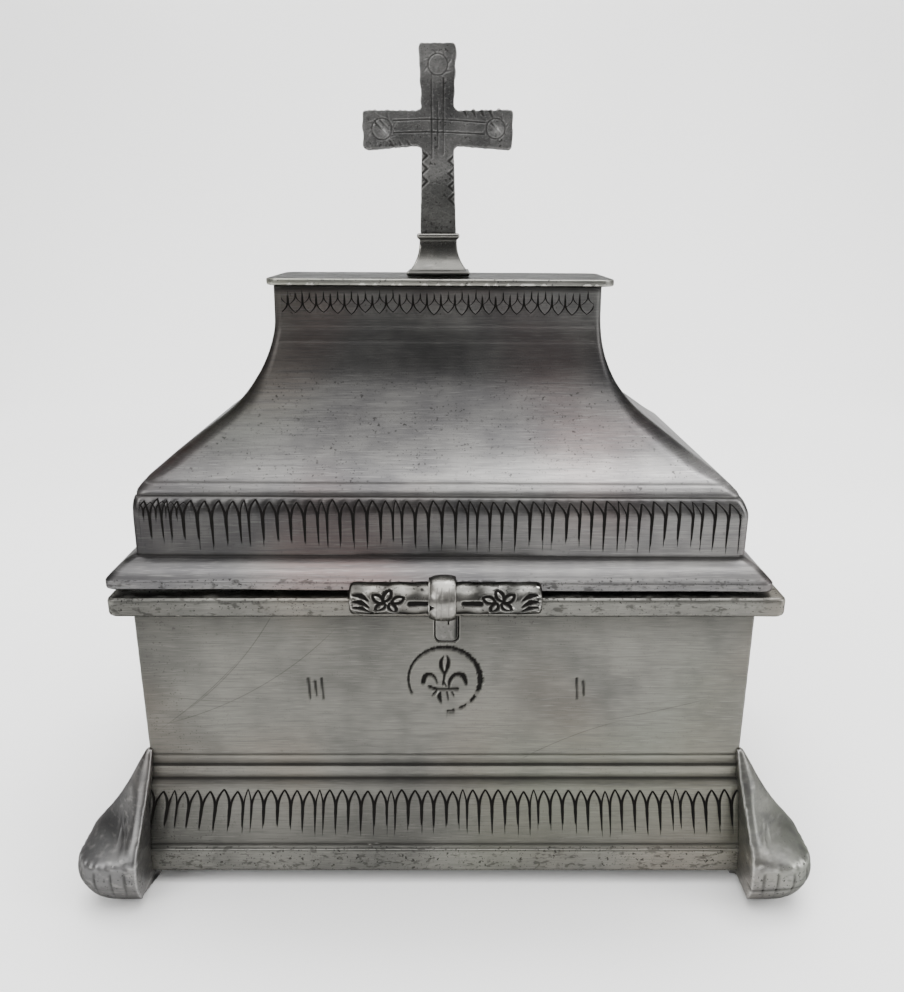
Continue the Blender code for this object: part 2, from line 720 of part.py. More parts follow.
def make_plate(material):
    half_x, half_y, neck_height = neck_top()
    bottom = neck_height + TOUCH_GAP
    top = bottom + PLATE_THICKNESS
    levels = (
        (PLATE_OVERHANG - PLATE_EDGE, bottom),
        (PLATE_OVERHANG, bottom + PLATE_EDGE),
        (PLATE_OVERHANG, top - PLATE_EDGE),
        (PLATE_OVERHANG - PLATE_EDGE, top),
    )
    rings = []
    for overhang, height in levels:
        radius = PLATE_CORNER_RADIUS + overhang - PLATE_OVERHANG
        rings.append(ring_points(half_x + overhang, half_y + overhang, radius, height, LID_SHIFT))
    builder = bmesh.new()
    loft(builder, rings, closed=False)
    return new_object("lid_top_plate", builder, material), top


def make_socle(material, plate_top):
    """A small square foot whose four faces sweep in to a waist under a thin collar."""
    bottom = plate_top + TOUCH_GAP
    collar_top = bottom + SOCLE_HEIGHT
    collar_bottom = collar_top - SOCLE_COLLAR_HEIGHT
    sweep_height = collar_bottom - bottom - SOCLE_FOOT_HEIGHT
    waist_x = SOCLE_COLLAR_WIDTH / 2 - SOCLE_WAIST_INSET
    waist_y = SOCLE_COLLAR_DEPTH / 2 - SOCLE_WAIST_INSET
    levels = [(SOCLE_WIDTH / 2, SOCLE_DEPTH / 2, bottom)]
    steps = ARC_STEPS + 1
    for step in range(steps + 1):
        share = (1.0 - step / steps) ** SOCLE_SWEEP_POWER
        height = bottom + SOCLE_FOOT_HEIGHT + sweep_height * step / steps
        half_x = waist_x + (SOCLE_WIDTH / 2 - waist_x) * share
        half_y = waist_y + (SOCLE_DEPTH / 2 - waist_y) * share
        levels.append((half_x, half_y, height))
    levels.append((SOCLE_COLLAR_WIDTH / 2, SOCLE_COLLAR_DEPTH / 2, collar_bottom + SOCLE_WAIST_INSET))
    levels.append((SOCLE_COLLAR_WIDTH / 2, SOCLE_COLLAR_DEPTH / 2, collar_top))
    rings = []
    for half_x, half_y, height in levels:
        rings.append(ring_points(half_x, half_y, SOCLE_WAIST_INSET, height, LID_SHIFT))
    builder = bmesh.new()
    loft(builder, rings, closed=False)
    return new_object("cross_socle", builder, material), collar_top


def cross_outline():
    """The cross seen from the front, as (x, z) above its foot."""
    half = CROSS_BAR / 2
    waist = half - CROSS_FLARE
    span = CROSS_SPAN / 2
    low = CROSS_ARM_HEIGHT - waist
    high = CROSS_ARM_HEIGHT + waist
    end_low = CROSS_ARM_HEIGHT - half - CROSS_DROOP
    end_high = CROSS_ARM_HEIGHT + half - CROSS_DROOP
    tuck = CROSS_FILLET * 0.3
    right = [
        (half, 0.0),
        (waist, low - CROSS_FILLET),
        (waist + tuck, low - tuck),
        (waist + CROSS_FILLET, low),
        (span - CROSS_CORNER, end_low),
        (span, end_low + CROSS_CORNER),
        (span, end_high - CROSS_CORNER),
        (span - CROSS_CORNER, end_high),
        (waist + CROSS_FILLET, high),
        (waist + tuck, high + tuck),
        (waist, high + CROSS_FILLET),
        (half, CROSS_HEIGHT - CROSS_CORNER),
        (half - CROSS_CORNER, CROSS_HEIGHT),
    ]
    return right + [(-x, z) for x, z in reversed(right)]


def cross_marks(builder, place):
    """Circles at the three upper ends, paired lines along the arms and shaft, and nicks on the edges."""
    half = CROSS_BAR / 2
    ring = CROSS_CIRCLE_RADIUS
    arm_end = CROSS_SPAN / 2 - 1.8 * ring
    centres = ((0.0, CROSS_HEIGHT - 2.0 * ring), (-arm_end, CROSS_ARM_HEIGHT), (arm_end, CROSS_ARM_HEIGHT))
    sides = 6
    for centre_x, centre_z in centres:
        for index in range(sides):
            angles = [2 * math.pi * (index + part) / sides for part in (0.08, 0.92)]
            points = [(centre_x + ring * math.cos(a), centre_z + ring * math.sin(a)) for a in angles]
            engrave(builder, place, points[0], points[1], 0.7 * MM)
    line = half * 0.35
    shaft_top = CROSS_HEIGHT - 3.6 * ring
    shaft_low = CROSS_ARM_HEIGHT - half * 1.4
    for sign in (-1, 1):
        engrave(builder, place, (sign * line, shaft_low), (sign * line, shaft_top), 0.7 * MM)
        for side in (-1, 1):
            start = (side * half * 0.8, CROSS_ARM_HEIGHT + sign * line)
            end = (side * (arm_end - 1.4 * ring), CROSS_ARM_HEIGHT + sign * line)
            engrave(builder, place, start, end, 0.7 * MM)
    nick_room = shaft_low - CROSS_BAR
    count = max(int(nick_room / CROSS_NICK_PITCH), 1)
    for index in range(count):
        centre_z = CROSS_BAR + (index + 0.5) * CROSS_NICK_PITCH
        for side in (-1, 1):
            edge = side * (half - CROSS_FLARE - CROSS_EDGE)
            outline = [
                (edge, centre_z - CROSS_NICK_SIZE / 2),
                (edge, centre_z + CROSS_NICK_SIZE / 2),
                (edge - side * CROSS_NICK_SIZE, centre_z),
            ]
            middle = (edge - side * CROSS_NICK_SIZE * 0.35, centre_z)
            struck_mark(builder, place, outline, middle, ENGRAVING_DEPTH)


def make_cross(material, socle_top):
    bottom = socle_top + TOUCH_GAP
    builder = bmesh.new()
    outline = cross_outline()
    rings = []
    for y in (-CROSS_THICKNESS / 2, CROSS_THICKNESS / 2):
        rings.append([Vector((x + LID_SHIFT, y, bottom + z)) for x, z in outline])
    loft(builder, rings, closed=False)
    cross = new_object("cross", builder, material)
    edge = cross.modifiers.new("edge", "BEVEL")
    edge.width = CROSS_EDGE
    edge.segments = 1
    edge.limit_method = "ANGLE"
    edge.angle_limit = math.radians(60.0)

    marks = bmesh.new()
    origin = (LID_SHIFT, -CROSS_THICKNESS / 2, bottom)
    cross_marks(marks, face_place(origin, (1, 0, 0), (0, 0, 1)))
    cut(cross, make_cutter("cross_marks", marks, material))
    return cross


def outline_reach(height):
    """The foot's outer reach at a height, on a smooth curve through its outline points."""
    points = sorted(FOOT_OUTLINE)
    count = len(points)
    for index in range(count - 1):
        low, high = points[index], points[index + 1]
        if low[0] <= height <= high[0]:
            before = points[max(index - 1, 0)]
            after = points[min(index + 2, count - 1)]
            gap = high[0] - low[0]
            share = (height - low[0]) / gap
            slope_low = (high[1] - before[1]) / (high[0] - before[0])
            slope_high = (after[1] - low[1]) / (after[0] - low[0])
            square = share * share
            cube = square * share
            return (
                (2 * cube - 3 * square + 1) * low[1]
                + (cube - 2 * square + share) * gap * slope_low
                + (3 * square - 2 * cube) * high[1]
                + (cube - square) * gap * slope_high
            )
    return points[-1][1]


def foot_section(height, inner):
    """One level of a foot, as (u, v) reaches along the two walls that meet at its corner."""
    reach = outline_reach(height)
    side = max(inner, 0.0)
    thin = 0.5 * MM
    reach = max(reach, side + thin)
    set_in = FOOT_LIP_SET
    sole_share = smooth_step((PLINTH_BOTTOM - height) / PLINTH_BOTTOM)
    set_in = set_in - sole_share * (FOOT_LIP_SET + FOOT_BOWL_WALL)
    toe_radius = min(FOOT_TOE_RADIUS, reach * 0.6)
    centre = reach - toe_radius
    toe = [(reach, 0.0), (reach, centre * 0.5)]
    toe += arc((centre, centre), toe_radius, 0.0, math.pi / 2, TOE_STEPS)
    toe += [(centre * 0.5, reach), (0.0, reach)]

    lip = -set_in + min(FOOT_LIP_THICKNESS, reach * 0.35)
    toe_middle = centre + toe_radius * math.sqrt(0.5)
    bowl_share = min(max((height - FOOT_TOE_HEIGHT) / FOOT_BOWL_HEIGHT, 0.0), 1.0)
    bowl_depth = math.sqrt(1.0 - (1.0 - bowl_share) ** 2)
    floor_middle = side + FOOT_BOWL_WALL * min(1.0, reach / (4 * FOOT_BOWL_WALL))
    middle = toe_middle + (floor_middle - toe_middle) * bowl_depth
    pull = 2 * middle - 0.5 * (reach + lip)
    bowl = []
    count = len(toe)
    for index in range(count):
        share = index / (count - 1)
        start_weight = (1 - share) ** 2
        pull_weight = 2 * share * (1 - share)
        end_weight = share ** 2
        u = start_weight * reach + pull_weight * pull + end_weight * lip
        v = start_weight * lip + pull_weight * pull + end_weight * reach
        bowl.append((u, v))
    blend = smooth_step((height - FOOT_TOE_HEIGHT) / (FOOT_BOWL_HEIGHT * 0.35))
    outer = []
    for toe_point, bowl_point in zip(toe, bowl):
        u = toe_point[0] + (bowl_point[0] - toe_point[0]) * blend
        v = toe_point[1] + (bowl_point[1] - toe_point[1]) * blend
        outer.append((u, v))
    section = [(-set_in, inner), (inner, inner), (inner, -set_in), (reach, -set_in)]
    section += outer
    section.append((-set_in, reach))
    return section


def foot_levels():
    """Heights of the foot's sections: close together at the sole and the rim of the bowl."""
    toe = [0.0, 0.06, 0.2, 0.5, 1.0]
    bowl = [0.04, 0.12, 0.26, 0.45, 0.7, 1.0]
    top_start = FOOT_TOE_HEIGHT + FOOT_BOWL_HEIGHT
    levels = [FOOT_TOE_HEIGHT * share for share in toe]
    levels += [FOOT_TOE_HEIGHT + FOOT_BOWL_HEIGHT * share for share in bowl]
    steps = 4
    for step in range(1, steps + 1):
        levels.append(top_start + (FOOT_HEIGHT - top_start) * step / steps)
    return levels


def make_foot(name, sign_x, sign_y, material):
    profile = skirt_profile() + [(0.0, RIM_BOTTOM)]
    levels = foot_levels()
    rings = []
    for index, height in enumerate(levels):
        below = levels[max(index - 1, 0)]
        above = levels[min(index + 1, len(levels) - 1)]
        inner = reach_between(profile, below, above) + TOUCH_GAP
        ring = []
        for u, v in foot_section(height, inner):
            x = sign_x * (BOX_WIDTH / 2 + u)
            y = sign_y * (BOX_DEPTH / 2 + v)
            ring.append(Vector((x, y, height)))
        rings.append(ring)
    builder = bmesh.new()
    loft(builder, rings, closed=False)
    return new_object(name, builder, material)


def hang_on_axis(pieces):
    """Parent the pieces that turn with the lid to an empty on the hinge axis, where they are."""
    axis = bpy.data.objects.new("lid_hinge_axis", None)
    axis.location = (0.0, HINGE_AXIS_Y, HINGE_AXIS_Z)
    bpy.context.scene.collection.objects.link(axis)
    for piece in pieces:
        piece.parent = axis
        piece.matrix_parent_inverse = Matrix.Translation(axis.location).inverted()


def main():
    clear_scene()
    cast = metal("cast_pewter", (0.36, 0.35, 0.33), 0.42)
    lid_metal = metal("lid_pewter", (0.34, 0.33, 0.33), 0.38)
    polished = metal("polished_pewter", (0.42, 0.41, 0.39), 0.28)
    dark = metal("cross_pewter", (0.28, 0.28, 0.28), 0.48)
    pieces = [make_box(cast), make_strap(polished), make_bar(polished), make_lid(lid_metal)]
    corners = (("front_left", -1, -1), ("front_right", 1, -1), ("back_left", -1, 1), ("back_right", 1, 1))
    for label, sign_x, sign_y in corners:
        pieces.append(make_foot("foot_" + label, sign_x, sign_y, cast))
    plate, plate_top = make_plate(lid_metal)
    socle, socle_top = make_socle(polished, plate_top)
    pieces += [plate, socle, make_cross(dark, socle_top)]
    hang_on_axis([piece for piece in pieces if piece.name in LID_PIECES])
    for piece in pieces:
        shade(piece)


main()
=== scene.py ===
"""The look of a cast pewter casket for holy oils, dressed over its solid model.

Shapes are worked out in millimetres and turned into metres when a mesh is made. A profile is a list of
(reach, height) pairs, where reach is how far a face stands out from the plane of the box walls.
"""

import math

import bmesh
import bpy
import numpy as np
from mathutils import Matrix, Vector


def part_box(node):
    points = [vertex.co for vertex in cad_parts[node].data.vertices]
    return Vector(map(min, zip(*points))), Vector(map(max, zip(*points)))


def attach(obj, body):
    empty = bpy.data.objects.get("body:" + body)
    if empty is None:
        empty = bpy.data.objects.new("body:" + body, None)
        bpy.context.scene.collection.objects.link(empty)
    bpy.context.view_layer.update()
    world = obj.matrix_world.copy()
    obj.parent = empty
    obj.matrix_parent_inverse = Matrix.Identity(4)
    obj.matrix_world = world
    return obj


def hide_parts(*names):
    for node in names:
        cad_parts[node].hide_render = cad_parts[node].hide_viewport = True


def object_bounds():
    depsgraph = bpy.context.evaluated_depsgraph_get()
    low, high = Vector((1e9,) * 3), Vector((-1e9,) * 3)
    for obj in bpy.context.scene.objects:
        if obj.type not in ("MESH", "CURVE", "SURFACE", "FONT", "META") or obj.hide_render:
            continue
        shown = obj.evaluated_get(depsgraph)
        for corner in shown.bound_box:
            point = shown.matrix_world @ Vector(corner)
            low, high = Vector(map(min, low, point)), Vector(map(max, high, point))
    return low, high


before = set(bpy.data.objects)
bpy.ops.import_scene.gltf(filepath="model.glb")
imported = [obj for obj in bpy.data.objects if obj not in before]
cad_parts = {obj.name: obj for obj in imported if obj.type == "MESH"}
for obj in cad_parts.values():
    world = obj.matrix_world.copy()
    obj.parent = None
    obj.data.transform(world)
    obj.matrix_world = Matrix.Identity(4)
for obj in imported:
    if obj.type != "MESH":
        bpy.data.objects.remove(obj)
solid_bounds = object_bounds()

MM = 0.001

# Box
HALF_X = 95.5
HALF_Y = 60.0
BOX_CORNER = 0.9
BOX_CORNER_GROWTH = 0.27
WALL = 3.0
FLOOR_TOP = 41.0
PLINTH_LOW = 4.9
PLINTH_TOP = 13.6
PLINTH_REACH = 7.0
BAND_FOOT_Z = 15.2
BAND_FOOT_REACH = 6.0
BAND_HEAD_Z = 35.4
BAND_HEAD_REACH = 3.0
FILLET_REACH = 0.8
LEDGE_Z = 36.4
FILLET_Z = 41.3
THIN_LINE_Z = 44.8
RIM_LOW = 96.2
RIM_TOP = 102.4
RIM_REACH = 6.2
RIM_ROUND = 1.3

# Lid
LID_SHIFT = -2.2
LID_TILT = -0.0050
LID_CORNER = 2.8
HIP_RADIUS = 9.0
LID_WALL = 2.5
FLANGE_LOW = 104.1
FLANGE_TOP = 112.3
FLANGE_REACH = 4.6
LID_BAND_REACH = -2.6
LID_BAND_TOP = 124.5
EAVES_RADIUS = 13.8
ROOF_SLOPE = math.radians(36.6)
ROOF_RUN = 18.2
SWEEP_RADIUS = 39.5
NECK_SLOPE = math.radians(89.4)
NECK_HEIGHT = 9.2
LID_STRIKE_TIP_Z = 130.1
LID_STRIKE_LENGTH = 16.4
BASE_STRIKE_TIP_Z = 33.9
BASE_STRIKE_LENGTH = 16.4
NECK_STRIKE_LENGTH = 8.0
STRIKE_PITCH = 4.13
LID_STRIKE_PITCH = 4.3
NECK_PITCH = 4.7
STRIKE_SHOULDER = 7.0
BASE_SHOULDER = 7.6
NECK_SHOULDER = 4.2

# Added to the count of the strikes on the neck, so that the metal can tell them from the band's
NECK_COUNT = 1000.0

# Camera, from the photograph's perspective
CAMERA_FOCAL = 866.0
CAMERA_PITCH = 17.4
CAMERA_PLACE = (2.4, -302.6, 208.55)
IMAGE_HEIGHT = 992.0


def smooth(value, low=0.0, high=1.0):
    share = np.clip((value - low) / (high - low), 0.0, 1.0)
    return share * share * (3.0 - 2.0 * share)


def bell(value, middle, width):
    return np.exp(-(((value - middle) / width) ** 2))


def look_up(at, pairs):
    """The value at a place between (place, value) pairs."""
    return np.interp(at, *np.array(pairs).T)


def solid_box(node):
    """The low corner, high corner, middle and half size of one of the solids, in mm."""
    low, high = (np.array(corner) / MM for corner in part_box(node))
    return low, high, (low + high) / 2, (high - low) / 2


# Numbers and colours in nodes

def add_node(tree, kind, settings=None, inputs=None):
    """A node with its settings, and its inputs given as numbers, colours, fields or sockets."""
    node = tree.nodes.new(kind)
    for name, value in (settings or {}).items():
        setattr(node, name, value)
    for name, value in (inputs or {}).items():
        if isinstance(value, Field):
            value = value.socket
        if isinstance(value, bpy.types.NodeSocket):
            tree.links.new(value, node.inputs[name])
        else:
            node.inputs[name].default_value = value
    return node


class Field:
    """A value in a node tree that can be reckoned with like a number."""

    def __init__(self, tree, socket):
        self.tree = tree
        self.socket = socket

    def reckon(self, operation, *values):
        node = add_node(self.tree, "ShaderNodeMath", {"operation": operation}, dict(enumerate(values)))
        return Field(self.tree, node.outputs[0])

    def __add__(self, other):
        return self.reckon("ADD", self, other)

    def __sub__(self, other):
        return self.reckon("SUBTRACT", self, other)

    def __rsub__(self, number):
        return self.reckon("SUBTRACT", number, self)

    def __mul__(self, other):
        return self.reckon("MULTIPLY", self, other)

    def __truediv__(self, other):
        return self.reckon("DIVIDE", self, other)

    def __rtruediv__(self, number):
        return self.reckon("DIVIDE", number, self)

    def power(self, other):
        return self.reckon("POWER", self, other)

    def root(self):
        return self.reckon("SQRT", self)

    def size(self):
        return self.reckon("ABSOLUTE", self)

    def floor(self):
        return self.reckon("FLOOR", self)

    def fraction(self):
        return self.reckon("FRACT", self)

    def least(self, other):
        return self.reckon("MINIMUM", self, other)

    def most(self, other):
        return self.reckon("MAXIMUM", self, other)

    def under(self, other):
        """1 where this value is less than the other, else 0."""
        return self.reckon("LESS_THAN", self, other)

    def clamp(self):
        return self.most(0.0).least(1.0)

    def without(self):
        """One less this value."""
        return (self * -1.0) + 1.0

    def step(self, low, high):
        """A smooth step from 0 at low to 1 at high, where each may be a number or a field."""
        inputs = {"Value": self, "From Min": low, "From Max": high}
        node = add_node(self.tree, "ShaderNodeMapRange", {"interpolation_type": "SMOOTHSTEP"}, inputs)
        return Field(self.tree, node.outputs["Result"])

    def chance(self):
        """An even random number for each whole value."""
        node = add_node(self.tree, "ShaderNodeTexWhiteNoise", {"noise_dimensions": "1D"}, {"W": self})
        return Field(self.tree, node.outputs["Value"])


# Places of the Mix node's sockets when it mixes colours
FIRST_COLOUR, SECOND_COLOUR, MIXED_COLOUR = 6, 7, 2


class Paint:
    """A material's tree, with short words for the nodes that it uses most."""

    def __init__(self, name):
        self.material = bpy.data.materials.new(name)
        self.material.use_nodes = True
        self.tree = self.material.node_tree
        self.shader = self.tree.nodes["Principled BSDF"]
        self.place = self.add("ShaderNodeTexCoord").outputs["Object"]

    def add(self, kind, settings=None, inputs=None):
        return add_node(self.tree, kind, settings, inputs)

    def link(self, field, name):
        socket = field.socket if isinstance(field, Field) else field
        self.tree.links.new(socket, self.shader.inputs[name])

    def value(self, name):
        """A vertex value."""
        return Field(self.tree, self.add("ShaderNodeAttribute", {"attribute_name": name}).outputs["Fac"])

    def parts(self, vector):
        """The three numbers of a vector."""
        split = self.add("ShaderNodeSeparateXYZ", inputs={"Vector": vector})
        return [Field(self.tree, split.outputs[index]) for index in range(3)]

    def stretched(self, scale):
        return self.add("ShaderNodeMapping", inputs={"Scale": scale, "Vector": self.place}).outputs["Vector"]

    def noise(self, scale, detail=3.0, roughness=0.55, place=None):
        inputs = {"Scale": scale, "Detail": detail, "Roughness": roughness, "Vector": place or self.place}
        return Field(self.tree, self.add("ShaderNodeTexNoise", inputs=inputs).outputs["Fac"])

    def specks(self, scale, radius, share):
        """Small ragged marks, one in a share of a grid's cells, from 0 to 1."""
        inputs = {"Scale": scale * 1.7, "Detail": 0.0, "Vector": self.place}
        wobble = self.add("ShaderNodeTexNoise", inputs=inputs).outputs["Color"]
        inputs = {0: wobble, 1: [0.9 / scale] * 3, 2: self.place}
        shifted = self.add("ShaderNodeVectorMath", {"operation": "MULTIPLY_ADD"}, inputs).outputs[0]
        cells = self.add("ShaderNodeTexVoronoi", inputs={"Scale": scale, "Vector": shifted})
        split = self.add("ShaderNodeSeparateColor", inputs={"Color": cells.outputs["Color"]})
        chosen = Field(self.tree, split.outputs[0]).step(1.0 - share - 0.02, 1.0 - share)
        reach = Field(self.tree, split.outputs[1]) * radius + radius * 0.4
        return Field(self.tree, cells.outputs["Distance"]).step(reach * 0.5, reach).without() * chosen

    def mix(self, first, second, share):
        """Mix two colours, each a tuple or a socket, by a field."""
        first, second = ((*item, 1.0) if isinstance(item, tuple) else item for item in (first, second))
        inputs = {0: share, FIRST_COLOUR: first, SECOND_COLOUR: second}
        return self.add("ShaderNodeMix", {"data_type": "RGBA"}, inputs).outputs[MIXED_COLOUR]

    def scaled(self, colour, field):
        """A colour made brighter or darker by a field."""
        inputs = {0: colour, "Scale": field}
        return self.add("ShaderNodeVectorMath", {"operation": "SCALE"}, inputs).outputs[0]

    def scratches(self, arcs):
        """Long curved hairlines on the front wall: each is (x, z, radius, left, right) in mm."""
        x, y, z = (part / MM for part in self.parts(self.place))
        total = x * 0.0
        for cx, cz, radius, left, right in arcs:
            across = x - cx
            down = z - cz
            away = ((across * across + down * down).root() - radius).size()
            inside = x.step(left - 3.0, left + 9.0) * x.step(right - 12.0, right).without()
            total = total.most(away.step(0.05, 0.22).without() * inside)
        return total * y.step(1.0 - HALF_Y, 2.0 - HALF_Y).without()


TIP_WANDER = 0.9
LEG_WANDER = 0.28


def lancets(count, depth, pitch, shoulder, length, weight, seed):
    """Lines of struck pointed arches. count runs along the row, depth in mm runs from the tips down."""
    luck = (count.floor() + seed).chance()
    other_luck = (count.floor() + seed + 71.0).chance()
    half = pitch / 2
    across = (count.fraction() - 0.5).size() * pitch
    fall = depth - luck * TIP_WANDER
    share = (fall / shoulder).clamp()
    outline = (share.without().power(2.5)).without() * half
    leg = ((fall - shoulder) / (length - shoulder)).clamp().without()
    thick = leg.power(1.3) * (weight * 0.78) + weight * 0.22
    thick = thick * (share * 0.4 + 0.6)
    line = (across - outline).size().step(thick - 0.08, thick + 0.08).without()
    end = (other_luck * (length * -LEG_WANDER)) + length
    inside = fall.step(-0.25, 0.05) * fall.step(end - 1.2, end).without()
    return line * inside


# Dark fill colour, for dirt in cuts and pits and for painted shade
DIRT_AND_SHADE_COLOUR = (0.006, 0.0055, 0.005)
CREASE = (0.012, 0.011, 0.010)
GREEN_CAST = (0.86, 0.98, 0.84)
GLINT = 2.6
SPECK_SCALE, FINE_SPECK_SCALE = 620.0, 1150.0
ROUGH_CAST_SCALE = (260.0, 260.0, 560.0)
STRIKE_BUMP = 0.38


def pewter(name, dark, light, warm, shine, brush, pit_share=0.3, strikes=None, warmth=0.35, lift=1.0,
           arcs=()):
    """Worn cast pewter: patches, brushing, pits, scratches, dirt and painted shade in the hollows, worn edges
    with painted highlights.

    brush stretches the brushing by axis, shine is the roughness of clean metal and lift scales the grain.
    """
    paint = Paint(name)
    patches = paint.noise(26.0, 2.0, 0.6)
    clouds = paint.noise(70.0, 2.0, 0.7)
    colour = paint.mix(dark, light, (patches * 0.6 + clouds * 0.4).step(0.34, 0.66))
    colour = paint.mix(colour, warm, paint.noise(17.0, 1.0).step(0.48, 0.72) * warmth)
    green = tuple(value * factor for value, factor in zip(light, GREEN_CAST))
    colour = paint.mix(colour, green, paint.noise(11.0, 1.0).step(0.5, 0.75) * 0.5)

    hair = paint.noise(1.0, 3.0, 0.75, paint.stretched(brush))
    fine = paint.noise(1.0, 1.0, 0.6, paint.stretched(tuple(value * 2.7 for value in brush)))
    grain = paint.noise(1300.0, 1.0, 0.7)
    colour = paint.mix(colour, dark, hair.step(0.42, 0.72) * 0.6)
    colour = paint.mix(colour, tuple(value * 1.3 for value in light), fine.step(0.52, 0.78) * 0.45)
    # The tone value lightens or darkens the metal: its patina, and on most pieces painted light and shade
    colour = paint.scaled(colour, paint.value("tone"))

    pits = paint.value("pits")
    crowd = paint.noise(120.0, 1.0).step(0.35, 0.62) * 0.7 + 0.3
    rough_cast = paint.noise(1.0, 2.0, 0.75, paint.stretched(ROUGH_CAST_SCALE)).step(0.55, 0.66)
    rough_cast = rough_cast * (pits - 0.9).clamp() * 0.6
    chance = (pits * crowd * 1.5).clamp()
    specks = paint.specks(SPECK_SCALE, 0.27, pit_share) * 0.95 * chance
    fine_specks = paint.specks(FINE_SPECK_SCALE, 0.33, pit_share * 1.2) * 0.9 * chance
    hollow = paint.value("hollow")
    # Dark fill for dirt in cuts and pits, and painted shade under the box's rim, the neck under the plate and
    # the lid's lip
    dirt_and_painted_shade = paint.value("dirt_and_painted_shade").clamp()
    struck = dirt_and_painted_shade * 0.0
    if strikes:
        given = paint.add("ShaderNodeAttribute", {"attribute_name": "strike"})
        count, depth, share = paint.parts(given.outputs["Vector"])
        struck = strikes(count, depth) * share.step(0.3, 0.7)
    marks = specks.most(fine_specks).most(rough_cast)
    if arcs:
        marks = marks.most(paint.scratches(arcs) * 0.38)
    dirt_and_shade_share = dirt_and_painted_shade.most(hollow.clamp() * 0.5).most(marks * 0.8).most(struck).clamp()
    colour = paint.mix(colour, DIRT_AND_SHADE_COLOUR, dirt_and_shade_share)

    edge = Field(paint.tree, paint.add("ShaderNodeNewGeometry").outputs["Pointiness"])
    # Convex edges lighten: polished wear and painted highlights, in the light colour raised by GLINT
    worn = edge.step(0.515, 0.60) * dirt_and_shade_share.without()
    # Concave places go dark: dirt and painted shade in the creases
    crease_dirt_and_shade = edge.step(0.41, 0.485).without() * 0.55
    colour = paint.mix(colour, CREASE, crease_dirt_and_shade)
    colour = paint.mix(colour, tuple(min(value * GLINT, 0.9) for value in light), worn * 0.75)
    paint.link(colour, "Base Color")

    rough = (clouds * 0.16) + shine + (hair - 0.5) * 0.10 + dirt_and_shade_share * 0.34 - worn * 0.08
    paint.link(rough.clamp(), "Roughness")
    paint.shader.inputs["Specular Tint"].default_value = (0.36, 0.36, 0.36, 1.0)
    paint.link((dirt_and_shade_share * -0.97) + 1.0, "Metallic")
    paint.shader.inputs["Specular IOR Level"].default_value = 0.12

    height = hair * (0.030 * lift) + fine * (0.012 * lift) + grain * (0.018 * lift) - struck * STRIKE_BUMP
    bump = paint.add("ShaderNodeBump", inputs={"Distance": MM, "Strength": 0.9, "Height": height})
    paint.link(bump.outputs["Normal"], "Normal")
    return paint.material


def lid_strikes(count, depth):
    """The lid's band has one row of arches, crowded at its left end. The neck has two that overlap."""
    on_neck = count.step(NECK_COUNT / 2 - 1.0, NECK_COUNT / 2 + 1.0)
    place = count - on_neck * NECK_COUNT
    pitch = on_neck * (NECK_PITCH - LID_STRIKE_PITCH) + LID_STRIKE_PITCH
    shoulder = on_neck * (NECK_SHOULDER - STRIKE_SHOULDER) + STRIKE_SHOULDER
    length = on_neck * (NECK_STRIKE_LENGTH - LID_STRIKE_LENGTH) + LID_STRIKE_LENGTH
    first = lancets(place, depth, pitch, shoulder, length, on_neck * -0.16 + 0.50, 3.0)
    lower = depth - on_neck * 2.0 - 0.6
    second_length = on_neck * -1.0 + 6.6
    second = lancets(place + 0.47, lower, pitch, 3.3, second_length, on_neck * -0.12 + 0.36, 31.0)
    jumble = on_neck.most(place.step(4.2, 4.6).without())
    return first.most(second * jumble)


def base_strikes(count, depth):
    return lancets(count, depth, STRIKE_PITCH, BASE_SHOULDER, BASE_STRIKE_LENGTH, 0.50, 9.0)


# Meshes

def plain_mesh(name, points, faces, values):
    """A mesh object from points in mm, with its vertex values."""
    mesh = bpy.data.meshes.new(name)
    mesh.from_pydata((np.asarray(points) * MM).tolist(), [], faces)
    mesh.update()
    piece = bpy.data.objects.new(name, mesh)
    bpy.context.scene.collection.objects.link(piece)
    give_values(piece, values)
    return piece


def give_values(piece, values):
    for key, data in values.items():
        kind = "FLOAT_VECTOR" if np.ndim(data) == 2 else "FLOAT"
        attribute = piece.data.attributes.get(key) or piece.data.attributes.new(key, kind, "POINT")
        field = "vector" if kind == "FLOAT_VECTOR" else "value"
        attribute.data.foreach_set(field, np.asarray(data, dtype=np.float32).ravel())


def settle(piece):
    """Turn a piece with its modifiers into a plain mesh."""
    bpy.context.view_layer.update()
    ready = piece.evaluated_get(bpy.context.evaluated_depsgraph_get())
    mesh = bpy.data.meshes.new_from_object(ready)
    piece.modifiers.clear()
    piece.data = mesh
    return piece


CAST_SIZES = ("Swell", "Swell Size", "Pit Depth", "Pit Size", "Pit Share")


